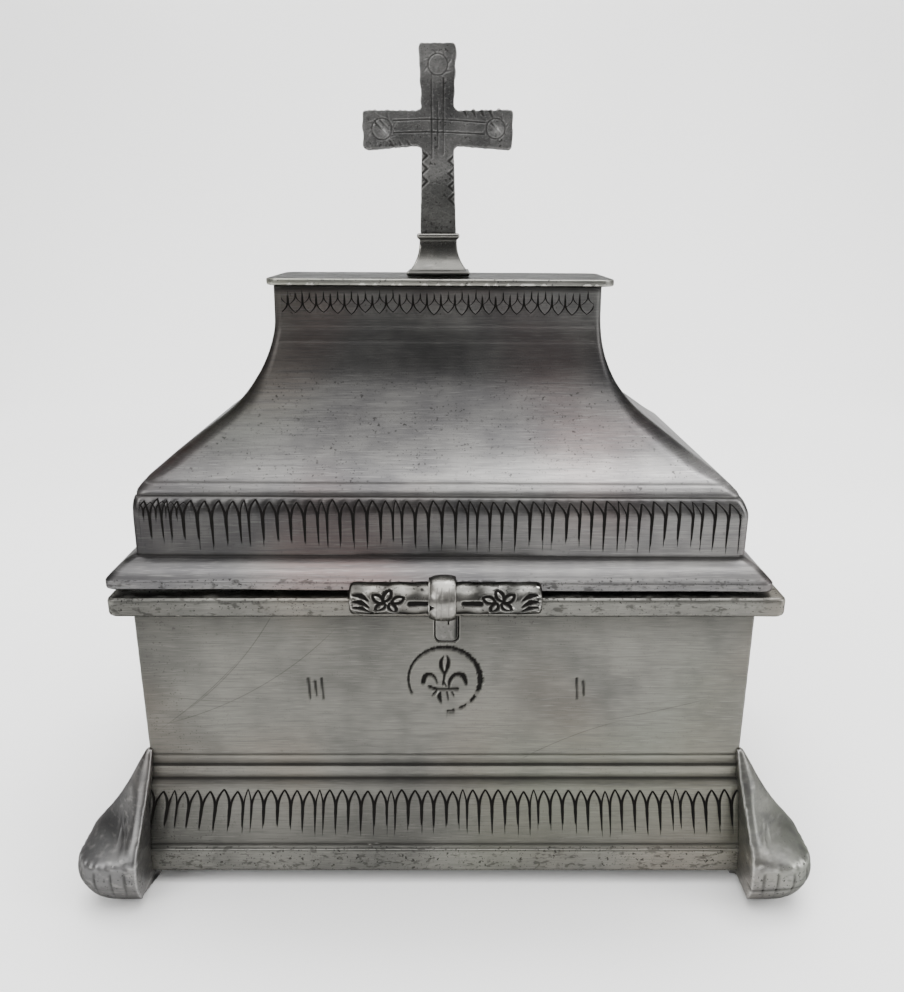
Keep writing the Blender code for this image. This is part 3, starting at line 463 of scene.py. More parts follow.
def cast_surface_tree():
    """Geometry nodes that give a piece its cast skin: an uneven surface with pits, then its metal."""
    tree = bpy.data.node_groups.new("cast_surface", "GeometryNodeTree")
    sockets = [("Geometry", "INPUT", "Geometry"), *((name, "INPUT", "Float") for name in CAST_SIZES)]
    sockets += [("Metal", "INPUT", "Material"), ("Geometry", "OUTPUT", "Geometry")]
    for name, way, kind in sockets:
        tree.interface.new_socket(name, in_out=way, socket_type="NodeSocket" + kind)
    start = add_node(tree, "NodeGroupInput").outputs
    swell, swell_size, pit_depth, pit_size, pit_share = (Field(tree, start[name]) for name in CAST_SIZES)
    place = add_node(tree, "GeometryNodeInputPosition").outputs[0]

    waves = add_node(tree, "ShaderNodeTexNoise", inputs={"Vector": place, "Scale": 1.0 / swell_size})
    raised = (Field(tree, waves.outputs["Fac"]) - 0.5) * swell
    cells = add_node(tree, "ShaderNodeTexVoronoi", inputs={"Vector": place, "Scale": 1.0 / pit_size})
    split = add_node(tree, "FunctionNodeSeparateColor", inputs={0: cells.outputs["Color"]})
    chosen = Field(tree, split.outputs[0]).under(pit_share)
    bowl = (1.0 - Field(tree, cells.outputs["Distance"]) * 2.9).most(0.0)
    dents = add_node(tree, "GeometryNodeInputNamedAttribute", {"data_type": "FLOAT"}, {"Name": "dents"})
    mask = bowl * chosen * Field(tree, dents.outputs["Attribute"])

    store = add_node(tree, "GeometryNodeStoreNamedAttribute", {"data_type": "FLOAT", "domain": "POINT"},
                     {"Name": "hollow", "Geometry": start["Geometry"], "Value": mask})
    normal = add_node(tree, "GeometryNodeInputNormal").outputs[0]
    offset = add_node(tree, "ShaderNodeVectorMath", {"operation": "SCALE"},
                      {0: normal, "Scale": raised - mask * pit_depth})
    move = add_node(tree, "GeometryNodeSetPosition",
                    inputs={"Geometry": store.outputs[0], "Offset": offset.outputs[0]})
    real = add_node(tree, "GeometryNodeRealizeInstances", inputs={0: move.outputs[0]})
    coat = add_node(tree, "GeometryNodeSetMaterial",
                    inputs={"Geometry": real.outputs[0], "Material": start["Metal"]})
    add_node(tree, "NodeGroupOutput", inputs={0: coat.outputs[0]})
    return tree


CAST_SURFACE = cast_surface_tree()


def cast(piece, metal, swell=0.10, swell_size=9.0, pit_depth=0.20, pit_size=1.5, pit_share=0.4):
    """Give a piece its cast skin and metal, with sizes in mm."""
    for key, usual in (("pits", 0.2), ("dirt_and_painted_shade", 0.0), ("tone", 1.0), ("dents", 0.4)):
        if key not in piece.data.attributes:
            give_values(piece, {key: np.full(len(piece.data.vertices), usual)})
    modifier = piece.modifiers.new("cast", "NODES")
    modifier.node_group = CAST_SURFACE
    sizes = (swell * MM, swell_size * MM, pit_depth * MM, pit_size * MM, pit_share)
    given = {"Metal": metal, **dict(zip(CAST_SIZES, sizes))}
    for item in CAST_SURFACE.interface.items_tree:
        if item.item_type == "SOCKET" and item.in_out == "INPUT" and item.name in given:
            modifier[item.identifier] = given[item.name]
    settle(piece)
    piece.data.shade_smooth()
    return piece


def keep_inside(piece):
    """No point of a piece leaves the solid's box."""
    low, high = (np.array(corner) / MM for corner in solid_bounds)
    points, _ = surface_of(piece)
    move_to(piece, np.clip(points, low + 0.01, high - 0.01))


def dress(piece, node, body):
    keep_inside(piece)
    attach(piece, body)
    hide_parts(node)


# Sides of a ring of columns, and the number that stands for its corners
FRONT, BACK, CORNER = 0, 2, 4


def columns(front, side_step, back_step, corner_steps):
    """Columns round a rounded rectangle, from the front's left end to the right, round and back.

    Each column is (cx, cy, ax, ay, side, share): cx and cy place it on the straight parts, ax and ay
    on the corner's arc, and share runs from -1 to 1 along a side.
    """
    result = []
    ways = ((0, (0, -1)), (1, (1, 0)), (2, (0, 1)), (3, (-1, 0)))
    for side, out in ways:
        along = (-out[1], out[0])
        if side == FRONT:
            shares = front
        else:
            length = 2 * (HALF_Y if side % 2 else HALF_X)
            step = side_step if side % 2 else back_step
            shares = np.linspace(-1.0, 1.0, int(length / step) + 1)
        for share in shares:
            cx = out[0] + along[0] * share
            cy = out[1] + along[1] * share
            result.append((cx, cy, out[0], out[1], side, share))
        for step in range(1, corner_steps):
            turn = math.pi / 2 * step / corner_steps
            ax = out[0] * math.cos(turn) + along[0] * math.sin(turn)
            ay = out[1] * math.cos(turn) + along[1] * math.sin(turn)
            result.append((out[0] + along[0], out[1] + along[1], ax, ay, CORNER, 0.0))
    return np.array(result)


def half_side(cols):
    """Half the length of the side that each column stands on."""
    return np.where(cols[:, 4] % 2 == 0, HALF_X, HALF_Y)


def ring_grid(cols, half_x, half_y, radius, height, shift=0.0):
    """Points of rounded rectangles, one row for each height."""
    given = (half_x, half_y, radius, height)
    half_x, half_y, radius, height = (np.asarray(item, dtype=float)[:, None] for item in given)
    x = cols[:, 0] * (half_x - radius) + cols[:, 2] * radius + shift
    y = cols[:, 1] * (half_y - radius) + cols[:, 3] * radius
    z = np.repeat(height, len(cols), axis=1)
    return np.stack([x, y, z], axis=2)


def grid_normals(grid, closed_rows=False):
    across = np.roll(grid, -1, axis=1) - np.roll(grid, 1, axis=1)
    if closed_rows:
        up = np.roll(grid, -1, axis=0) - np.roll(grid, 1, axis=0)
    else:
        up = np.gradient(grid, axis=0)
    normals = np.cross(across, up)
    return normals / np.maximum(np.linalg.norm(normals, axis=2, keepdims=True), 1e-9)


def grid_faces(rows, count, closed):
    """Quads between rings of points, walked anticlockwise and upwards, closed to a loop or capped."""
    last = rows if closed else rows - 1
    row, column = np.meshgrid(np.arange(last), np.arange(count), indexing="ij")
    after = (column + 1) % count
    above = (row + 1) % rows
    corners = [row * count + column, row * count + after, above * count + after, above * count + column]
    faces = np.stack(corners, axis=2).reshape(-1, 4).tolist()
    if not closed:
        faces.append(list(range(count))[::-1])
        faces.append([(rows - 1) * count + index for index in range(count)])
    return faces


def ring_mesh(name, grid, values, closed=False):
    """A mesh over a grid of rings, with its values given on the same grid."""
    flat = {key: data.reshape(-1, 3) if data.ndim == 3 else data.ravel() for key, data in values.items()}
    return plain_mesh(name, grid.reshape(-1, 3), grid_faces(*grid.shape[:2], closed), flat)


SHARP_TURN = 0.35
NEAREST_ROWS = 0.15
LINE_ROWS = (-0.55, -0.28, 0.0, 0.28, 0.55)


def walk(points, spacings, lines=()):
    """Rows along a profile: close at its corners and its incised lines, and spaced as asked between."""
    points = np.array(points)
    steps = np.diff(points, axis=0)
    lengths = np.hypot(*steps.T)
    run = np.concatenate([[0.0], np.cumsum(lengths)])
    turns = np.diff(np.unwrap(np.arctan2(steps[:, 1], steps[:, 0])))
    marks = list(run)
    for index, turn in enumerate(turns):
        if abs(turn) > SHARP_TURN:
            marks += [run[index + 1] - 0.2, run[index + 1] + 0.2]
    for index, (length, space) in enumerate(zip(lengths, spacings)):
        parts = max(int(math.ceil(length / space)), 1)
        marks += list(run[index] + length * np.arange(1, parts) / parts)
    for height in lines:
        at = np.interp(height, points[:, 1], run)
        marks += [at + shift for shift in LINE_ROWS]
    marks = sorted(mark for mark in marks if 0.0 <= mark <= run[-1])
    kept = [marks[0]]
    for mark in marks[1:]:
        if mark - kept[-1] > NEAREST_ROWS:
            kept.append(mark)
    kept[-1] = run[-1]
    kept = np.array(kept)
    return np.interp(kept, run, points[:, 0]), np.interp(kept, run, points[:, 1]), kept


def arc(centre, radius, start, end, steps):
    angles = np.linspace(start, end, steps + 1)
    return [(centre[0] + radius * math.cos(a), centre[1] + radius * math.sin(a)) for a in angles]


STRIKE_WANDER = 0.05
SHORT_STEP = 0.62


def strike_edges(pitch, half, seed, group):
    """Where one strike of the punch ends and the next begins: uneven, and shorter once in each group."""
    random = np.random.default_rng(seed)
    edges = [-half - 3.0 * pitch]
    while edges[-1] < half + 3.0 * pitch:
        step = pitch * (1.0 + STRIKE_WANDER * random.standard_normal())
        if len(edges) % group == 0:
            step *= SHORT_STEP
        edges.append(edges[-1] + step)
    return np.array(edges)


def lancet_relief(count, depth, pitch, shoulder, length):
    """The struck arches as relief in the mesh, from 0 to 1."""
    across = np.abs(count - np.floor(count) - 0.5) * pitch
    share = np.clip(depth / shoulder, 0.0, 1.0)
    outline = (1.0 - (1.0 - share) ** 2.5) * pitch / 2
    leg = 1.0 - np.clip((depth - shoulder) / (length - shoulder), 0.0, 1.0)
    line = 1.0 - smooth(np.abs(across - outline), 0.1, 0.75)
    return line * smooth(depth, -0.4, 0.2) * np.where(depth > shoulder, leg, 1.0) * (depth < length)


# Strokes of the graver

def stroke(x, y, points, widths, soft=0.16):
    """How deep a tapering stroke through points is at each place, from 0 to 1."""
    deepest = np.zeros_like(x)
    points = np.array(points, dtype=float)
    widths = np.interp(np.linspace(0, 1, len(points)), np.linspace(0, 1, len(widths)), widths)
    for start, end, w0, w1 in zip(points, points[1:], widths, widths[1:]):
        run = end - start
        share = ((x - start[0]) * run[0] + (y - start[1]) * run[1]) / max(run @ run, 1e-9)
        share = np.clip(share, 0.0, 1.0)
        away = np.hypot(x - start[0] - share * run[0], y - start[1] - share * run[1])
        half = (w0 + (w1 - w0) * share) / 2
        deepest = np.maximum(deepest, 1.0 - smooth(away, half - soft, half + soft))
    return deepest


def carve(x, y, strokes):
    """The deepest of several strokes, each given as its points, its widths and how hard it is pressed."""
    return np.maximum.reduce([press * stroke(x, y, points, widths) for points, widths, press in strokes])


def curve(points, steps=6):
    """A smooth line through points."""
    points = [np.array(point, dtype=float) for point in points]
    result = []
    for index in range(len(points) - 1):
        before = points[max(index - 1, 0)]
        start, end = points[index], points[index + 1]
        after = points[min(index + 2, len(points) - 1)]
        for step in range(steps):
            t = step / steps
            a = 2 * start
            b = (end - before) * t
            c = (2 * before - 5 * start + 4 * end - after) * t * t
            d = (3 * start - before - 3 * end + after) * t ** 3
            result.append((a + b + c + d) / 2)
    result.append(points[-1])
    return result


ROUNDEL_Z = 72.0
ROUNDEL_RADIUS = 11.3
FLEUR = (
    (((-0.2, 2.0), (-1.0, 4.4), (-1.0, 6.4), (-0.2, 8.1)), (0.5, 1.3, 1.1, 0.3)),
    (((0.3, 2.0), (1.1, 4.6), (1.3, 6.8), (0.7, 8.5)), (0.5, 1.3, 1.0, 0.3)),
    (((0.1, 2.6), (-0.1, 0.4), (-0.5, -1.8)), (0.8, 0.7, 0.5)),
    (((-6.7, -1.0), (-6.0, 1.2), (-4.4, 1.9), (-3.0, 0.7), (-2.2, -1.4)), (1.4, 1.5, 0.9, 0.8, 0.3)),
    (((1.4, -3.0), (1.8, -0.2), (3.6, 1.8), (5.8, 1.4), (6.9, -1.4)), (0.4, 1.1, 1.2, 1.8, 1.0)),
    (((-4.8, -2.4), (-2.6, -3.3), (0.6, -3.3), (4.2, -3.3)), (1.0, 0.9, 0.7, 0.9)),
    (((-2.6, -4.2), (-3.8, -5.5)), (0.7, 0.4)),
    (((-1.2, -4.5), (-1.6, -6.2), (-1.0, -8.2)), (0.4, 1.5, 0.4)),
    (((0.8, -4.6), (1.2, -7.2)), (0.6, 0.3)),
    (((2.4, -4.5), (3.1, -6.0)), (0.6, 0.3)),
    (((-0.4, -0.6), (0.6, -2.4)), (0.5, 0.4)),
)
STROKE_GROUPS = ((-40.6, 3), (42.8, 2))
STROKE_Z = 68.8
STROKE_LENGTH = 7.2
STROKE_PITCH = 2.1


def roundel_ring(x, z):
    """The roundel's worn border: thick and ragged at the right, thin at the left, dashed below."""
    angle = np.degrees(np.arctan2(z, x)) % 360.0
    away = np.abs(np.hypot(x, z) - ROUNDEL_RADIUS)
    thick = 0.35 + 0.5 * bell((angle + 180.0) % 360.0 - 180.0, 8.0, 42.0) + 0.22 * bell(angle, 85.0, 40.0)
    ragged = 1.0 + 0.3 * np.sin(angle * 0.9) * np.sin(angle * 0.37 + 1.0)
    line = 1.0 - smooth(away, thick * ragged - 0.2, thick * ragged + 0.2)
    gone = smooth(angle, 203.0, 208.0) * (1.0 - smooth(angle, 268.0, 274.0))
    dashed = (angle > 270.0) & (angle < 338.0) & (np.sin(np.radians(angle * 17.0)) < -0.35)
    return line * (1.0 - gone) * np.where(dashed, 0.25, 1.0)


def wall_engraving(x, z):
    """Everything that is cut into the front wall, from 0 to 1."""
    flower = [(curve(points), widths, 1.0) for points, widths in FLEUR]
    strokes = []
    for middle, number in STROKE_GROUPS:
        for index in range(number):
            at = middle + (index - (number - 1) / 2) * STROKE_PITCH
            half = STROKE_LENGTH * (1.0 if index % 2 == 0 else 0.72) / 2
            strokes.append((((at + 0.25, STROKE_Z - half), (at - 0.15, STROKE_Z + half)), (0.5, 0.9), 0.8))
    above = z - ROUNDEL_Z
    return np.maximum.reduce([roundel_ring(x, above), carve(x, above, flower), carve(x, z, strokes)])


# Tongue of the hinge strap, let into the wall
STRAP_LOW, _, STRAP_MIDDLE, _ = solid_box("hinge_strap")
TONGUE_MIDDLE = 0.8
TONGUE_HALF = 3.55
TONGUE_ROUND = 1.8


def tongue_pocket(x, z):
    """The pocket in the wall round the tongue, from 0 to 1."""
    low = STRAP_LOW[2]
    dx = np.maximum(np.abs(x - TONGUE_MIDDLE) - (TONGUE_HALF - TONGUE_ROUND), 0.0)
    dz = np.maximum((low + TONGUE_ROUND) - z, 0.0)
    away = np.hypot(dx, dz) - TONGUE_ROUND
    return 1.0 - smooth(away, 0.05, 0.34)


def box_corner(reach):
    return np.maximum(BOX_CORNER + BOX_CORNER_GROWTH * reach, 0.4)


# Stretches of the box's front with close columns, each from, to and step
CLOSE_COLUMNS = ((-12.6, 12.6, 0.30), (-44.0, -37.4, 0.40), (40.6, 45.2, 0.40))
BOX_COLUMNS_PER_ARCH = 6
LID_COLUMNS_PER_ARCH = 8


def box_front_shares():
    """Columns along the box's front: six to an arch, and closer about the roundel and the strokes."""
    edges = strike_edges(STRIKE_PITCH, HALF_X, 5, 6)
    counts = np.arange(0, len(edges) - 1, 1 / BOX_COLUMNS_PER_ARCH)
    places = np.interp(counts, np.arange(len(edges)), edges)
    for given in CLOSE_COLUMNS:
        part = np.arange(*given)
        places = places[(places < part[0] - 0.1) | (places > part[-1] + 0.1)]
        places = np.sort(np.concatenate([places, part]))
    shares = places / HALF_X
    shares = shares[(shares > -0.998) & (shares < 0.998)]
    return np.concatenate([[-1.0], shares, [1.0]]), edges


# Heights on the wall between which the rows are close, for the roundel and for the tongue's end
ROUNDEL_ROWS = (60.3, 84.0)
TONGUE_ROWS_TOP = 88.5
BASE_CAST = 3.2
BASE_HOLLOW_REACH = 3.8
FLOOR_INSETS = (12.0, 24.0, 36.0, 48.0, 59.0)
ENDS_LEAN = 0.028

# The box's patina and painted shade, darkest under the rim: height, and how light the metal is
BOX_PATINA_AND_SHADE = (
    (5.0, 0.85), (14.0, 0.95), (16.0, 0.56), (30.0, 0.62), (36.0, 0.75), (42.0, 0.9),
    (46.0, 0.70), (84.0, 0.68), (92.0, 0.48), (96.0, 0.40), (97.0, 0.70), (102.0, 0.85),
)


def box_profile():
    """The box's profile from under its base, up the outside and down to the floor, and what is outside."""
    points = [
        (PLINTH_REACH - 1.2, PLINTH_LOW), (PLINTH_REACH - 0.3, PLINTH_LOW + 0.35),
        (PLINTH_REACH, PLINTH_LOW + 1.1), (PLINTH_REACH, PLINTH_TOP - 0.9),
        (PLINTH_REACH - 0.35, PLINTH_TOP - 0.2), (PLINTH_REACH - 1.2, PLINTH_TOP),
        (BAND_FOOT_REACH - 0.6, PLINTH_TOP + 0.9), (BAND_FOOT_REACH, BAND_FOOT_Z),
        (BAND_HEAD_REACH, BAND_HEAD_Z), (FILLET_REACH + 0.2, BAND_HEAD_Z + 1.1), (FILLET_REACH, LEDGE_Z),
        (FILLET_REACH, FILLET_Z - 0.5), (0.0, FILLET_Z + 0.2), (0.0, ROUNDEL_ROWS[0]),
        (0.0, ROUNDEL_ROWS[1]), (0.0, TONGUE_ROWS_TOP), (0.0, RIM_LOW),
    ]
    points += arc((RIM_REACH - RIM_ROUND, RIM_LOW + RIM_ROUND), RIM_ROUND, -math.pi / 2, 0.0, 3)
    points += arc((RIM_REACH - RIM_ROUND, RIM_TOP - RIM_ROUND), RIM_ROUND, 0.0, math.pi / 2, 3)
    spacing = [0.6, 0.8, 1.6, 0.6, 0.6, 0.6, 0.6, 1.15, 0.8, 0.5, 1.2, 0.5, 2.6, 0.56, 0.5, 1.2, 1.0]
    spacing += [3.0, 0.8, 0.8, 0.8, 0.9, 0.8, 0.8]
    reach, height, _ = walk(points, spacing, (LEDGE_Z, FILLET_Z, THIN_LINE_Z))
    below = [
        (FILLET_REACH - BASE_CAST, FLOOR_TOP - WALL), (BAND_HEAD_REACH - BASE_CAST, BAND_HEAD_Z - BASE_CAST),
        (BASE_HOLLOW_REACH, BAND_FOOT_Z), (BASE_HOLLOW_REACH, PLINTH_LOW),
    ]
    inside = [(-WALL + 0.6, RIM_TOP), (-WALL, RIM_TOP - 0.6), (-WALL, 72.0), (-WALL, FLOOR_TOP + 0.4)]
    inside += [(-WALL - 0.4, FLOOR_TOP)] + [(-inset, FLOOR_TOP) for inset in FLOOR_INSETS]
    below, inside = np.array(below), np.array(inside)
    outside = np.concatenate([np.zeros(len(below)), np.ones(len(height)), np.zeros(len(inside))])
    reach = np.concatenate([below[:, 0], reach, inside[:, 0]])
    height = np.concatenate([below[:, 1], height, inside[:, 1]])
    return reach, height, outside


def box_values(x, z, reach, front, outside, marks, pocket, line):
    """Where the box's metal is pitted and dirty, and where it has painted light and shade."""
    rim = smooth(z, RIM_LOW, RIM_LOW + 1.0) * outside
    plinth = (z < PLINTH_TOP + 0.4) * outside
    under_rim = front * bell(z, 94.0, 5.0) * smooth(x, 5.0, 20.0) * (x < 60.0)
    pits = 0.12 + 2.6 * rim + 1.8 * plinth + 0.35 * under_rim + 0.25 * bell(x, -88.0, 12.0) * front
    dirt_and_painted_shade = 0.98 * marks + pocket + 0.9 * np.minimum(line, 1.0)
    dirt_and_painted_shade = dirt_and_painted_shade + 0.75 * bell(z, PLINTH_TOP + 1.2, 0.8) * outside
    # Painted shade in the crease under the rim
    dirt_and_painted_shade = dirt_and_painted_shade + 0.8 * bell(z, RIM_LOW - 0.3, 0.8) * outside * (reach[:, None] < 3.0)
    dirt_and_painted_shade = dirt_and_painted_shade + 0.35 * bell(z, BAND_HEAD_Z + 0.4, 1.0) * outside
    # Painted light: the metal is lighter towards the right, and painted shade darkens the left end
    painted_light_to_the_right = 1.0 + 0.12 * smooth(x, -20.0, 70.0)
    tone = look_up(z, BOX_PATINA_AND_SHADE) * painted_light_to_the_right * (1.0 - 0.15 * bell(x, -95.0, 12.0))
    dents = np.minimum(rim + plinth, 1.0) * front
    return {"pits": pits, "dirt_and_painted_shade": np.clip(dirt_and_painted_shade, 0.0, 1.0), "tone": tone, "dents": dents}


def make_box(metal):
    shares, edges = box_front_shares()
    cols = columns(shares, 1.9, 4.6, 4)
    reach, height, outside = box_profile()
    grid = ring_grid(cols, HALF_X + reach, HALF_Y + reach, box_corner(reach), height)
    normals = grid_normals(grid)
    x, z = grid[..., 0].copy(), grid[..., 2].copy()
    side = cols[:, 4]
    outside = outside[:, None] * np.ones(len(cols))
    front = (side == FRONT) * outside
    flat = (side < CORNER) * outside

    lean = np.clip((-60.0 - x) / 30.0, 0.0, 1.0) * ENDS_LEAN * (BASE_STRIKE_TIP_Z - z)
    count = np.interp(half_side(cols) * cols[:, 5], edges, np.arange(len(edges))) + lean * front
    depth = (BASE_STRIKE_TIP_Z - z) * 1.015
    on_band = flat * (z > BAND_FOOT_Z) * (z < BAND_HEAD_Z)
    arches = lancet_relief(count, depth, STRIKE_PITCH, BASE_SHOULDER, BASE_STRIKE_LENGTH)
    arches = arches * on_band * (side != BACK)
    marks = wall_engraving(x, z) * front
    pocket = tongue_pocket(x, z) * front * (z < RIM_LOW + 0.2)
    line = 0.8 * bell(z, LEDGE_Z + 0.3, 0.40) + 1.1 * bell(z, FILLET_Z, 0.45)
    line = (line + 0.75 * bell(z, THIN_LINE_Z, 0.26)) * outside
    wander = (0.05 * np.sin(x * 0.11) + 0.04 * np.sin(x * 0.37 + z * 0.9)) * (z > 40.0) * outside
    dip = 0.20 * arches + 0.42 * marks + 1.3 * pocket + 0.30 * line + 0.5 * wander
    grid -= normals * dip[..., None]
    grid[..., 0] += 0.7 * smooth(reach, 0.0, 3.0)[:, None] * (grid[..., 2] > RIM_LOW - 1.0)

    x, z = grid[..., 0], grid[..., 2]
    values = box_values(x, z, reach, front, outside, marks, pocket, line)
    values["strike"] = np.stack([count, depth, on_band], axis=2)
    box = ring_mesh("box_shell", grid, values)
    cast(box, metal, swell=0.12, swell_size=16.0, pit_depth=0.25, pit_size=0.95, pit_share=0.3)
    dress(box, "box_body", "box")


def lid_outer():
    """The lid's outer profile and the spacing of its rows, from the flange's edge to the neck's top."""
    points = [
        (FLANGE_REACH - 0.5, FLANGE_LOW), (FLANGE_REACH - 0.1, FLANGE_LOW + 0.3),
        (FLANGE_REACH, FLANGE_LOW + 0.8), (FLANGE_REACH - 0.05, 106.7), (FLANGE_REACH - 0.5, 107.3),
        (3.2, 108.2), (1.8, 109.5), (0.2, 110.8), (LID_BAND_REACH + 0.9, 111.9),
        (LID_BAND_REACH + 0.2, FLANGE_TOP), (LID_BAND_REACH, FLANGE_TOP + 0.5),
        (LID_BAND_REACH, LID_BAND_TOP),
    ]
    spacing = [0.5, 0.6, 0.8, 0.6, 0.7, 0.7, 0.7, 0.7, 0.5, 0.5, 0.85]
    eaves = (LID_BAND_REACH - EAVES_RADIUS, LID_BAND_TOP)
    bend = arc(eaves, EAVES_RADIUS, 0.0, math.pi / 2 - ROOF_SLOPE, 16)[1:]
    points += bend
    spacing += [0.9] * len(bend)
    reach, height = points[-1]
    points.append((reach - ROOF_RUN, height + ROOF_RUN * math.tan(ROOF_SLOPE)))
    spacing.append(2.0)
    reach, height = points[-1]
    centre = (reach + SWEEP_RADIUS * math.sin(ROOF_SLOPE), height + SWEEP_RADIUS * math.cos(ROOF_SLOPE))
    bend = arc(centre, SWEEP_RADIUS, -math.pi / 2 - ROOF_SLOPE, -math.pi / 2 - NECK_SLOPE, 18)[1:]
    points += bend
    spacing += [2.0] * len(bend)
    reach, height = points[-1]
    points.append((reach - NECK_HEIGHT / math.tan(NECK_SLOPE), height + NECK_HEIGHT))
    spacing.append(0.7)
    return points, spacing


def lid_corner(reach, neck):
    share = (LID_BAND_REACH - reach) / (LID_BAND_REACH - neck)
    hip = smooth(share, 0.0, 0.25) * (1.0 - smooth(share, 0.6, 1.0))
    return LID_CORNER + (HIP_RADIUS - LID_CORNER) * hip


# How far the cast lid's levels lie to the right of its middle
LID_DRIFT = (
    (104.0, 0.8), (112.0, 0.8), (113.5, 1.2), (126.0, 1.2),
    (133.0, 0.0), (140.0, -0.9), (160.0, -0.9), (176.0, 0.0),
)

# The lid's patina and painted light, lighter at the right with highlights on the flange and the roof's foot:
# height, and how light the metal is at the left and at the right
LID_PATINA_AND_LIGHT = (
    (104.0, 0.9, 0.9), (107.2, 1.0, 1.0), (107.9, 0.5, 0.6), (109.0, 0.66, 0.8), (109.9, 1.15, 1.25),
    (110.8, 0.9, 1.1), (111.7, 0.36, 0.45), (113.0, 0.38, 0.8), (124.0, 0.40, 0.92), (129.0, 0.5, 1.0),
    (131.0, 0.75, 1.3), (136.0, 0.58, 1.6), (142.0, 0.34, 0.68), (150.0, 0.26, 0.40), (158.0, 0.27, 0.42),
    (166.0, 0.25, 0.48), (176.0, 0.46, 0.78), (190.0, 0.56, 0.9),
)
DOUBLE_LINE_Z = 130.9
FINE_LINE_Z = 134.3
FAINT_LINES = (176.4, 172.2)
BAND_LINE_Z = 114.9
LIP_TOP = 109.8
LIP_LOW = 103.6
LIP_INSIDE = -1.4
LIP_OUTSIDE = 2.1


def lid_inner(neck_reach, neck_top):
    """The lid's inside, from the neck down and round the lip that stands over the box's rim."""
    neck, band = neck_reach - LID_WALL, LID_BAND_REACH - LID_WALL
    return np.array([
        (neck, neck_top), (neck, 170.0), (-38.0, 158.0), (-29.0, 145.6), (-19.0, 137.2), (-10.5, 130.0),
        (band, LID_BAND_TOP), (band, LIP_TOP), (LIP_INSIDE, LIP_TOP), (LIP_INSIDE, LIP_LOW),
        (LIP_OUTSIDE, LIP_LOW), (LIP_OUTSIDE, FLANGE_LOW),
    ])


def lid_values(x, z, neck_top, front, outside, on_neck, lines):
    """Where the lid's metal is pitted and dirty, and where it has painted light and shade."""
    edge_face = outside * (z < 107.6)
    roof = outside * smooth(z, 128.0, 134.0) * (1.0 - 0.65 * smooth(z, 158.0, 172.0))
    pits = 0.12 + 2.4 * edge_face + 0.34 * roof + 0.3 * on_neck
    # Painted shade at the neck's top under the plate's edge; the flange's cove and the roof's top are darker
    dirt_and_painted_shade = lines + 0.7 * smooth(z, neck_top - 2.6, neck_top - 0.4) * outside
    dirt_and_painted_shade = dirt_and_painted_shade + 0.25 * bell(z, 110.4, 0.7) * outside + 0.16 * smooth(z, 150.0, 172.0) * outside
    # Painted shade over the inside of the lid's lip, in the gap above the box's rim
    dirt_and_painted_shade = np.maximum(dirt_and_painted_shade, (1.0 - outside) * (z < 112.0) * 0.9)
    left_tone = look_up(z, [row[:2] for row in LID_PATINA_AND_LIGHT])
    right_tone = look_up(z, [row[::2] for row in LID_PATINA_AND_LIGHT])
    tone = left_tone + (right_tone - left_tone) * smooth(x, -30.0, 75.0)
    return {"pits": pits, "dirt_and_painted_shade": np.clip(dirt_and_painted_shade, 0.0, 1.0), "tone": tone, "dents": edge_face * front}


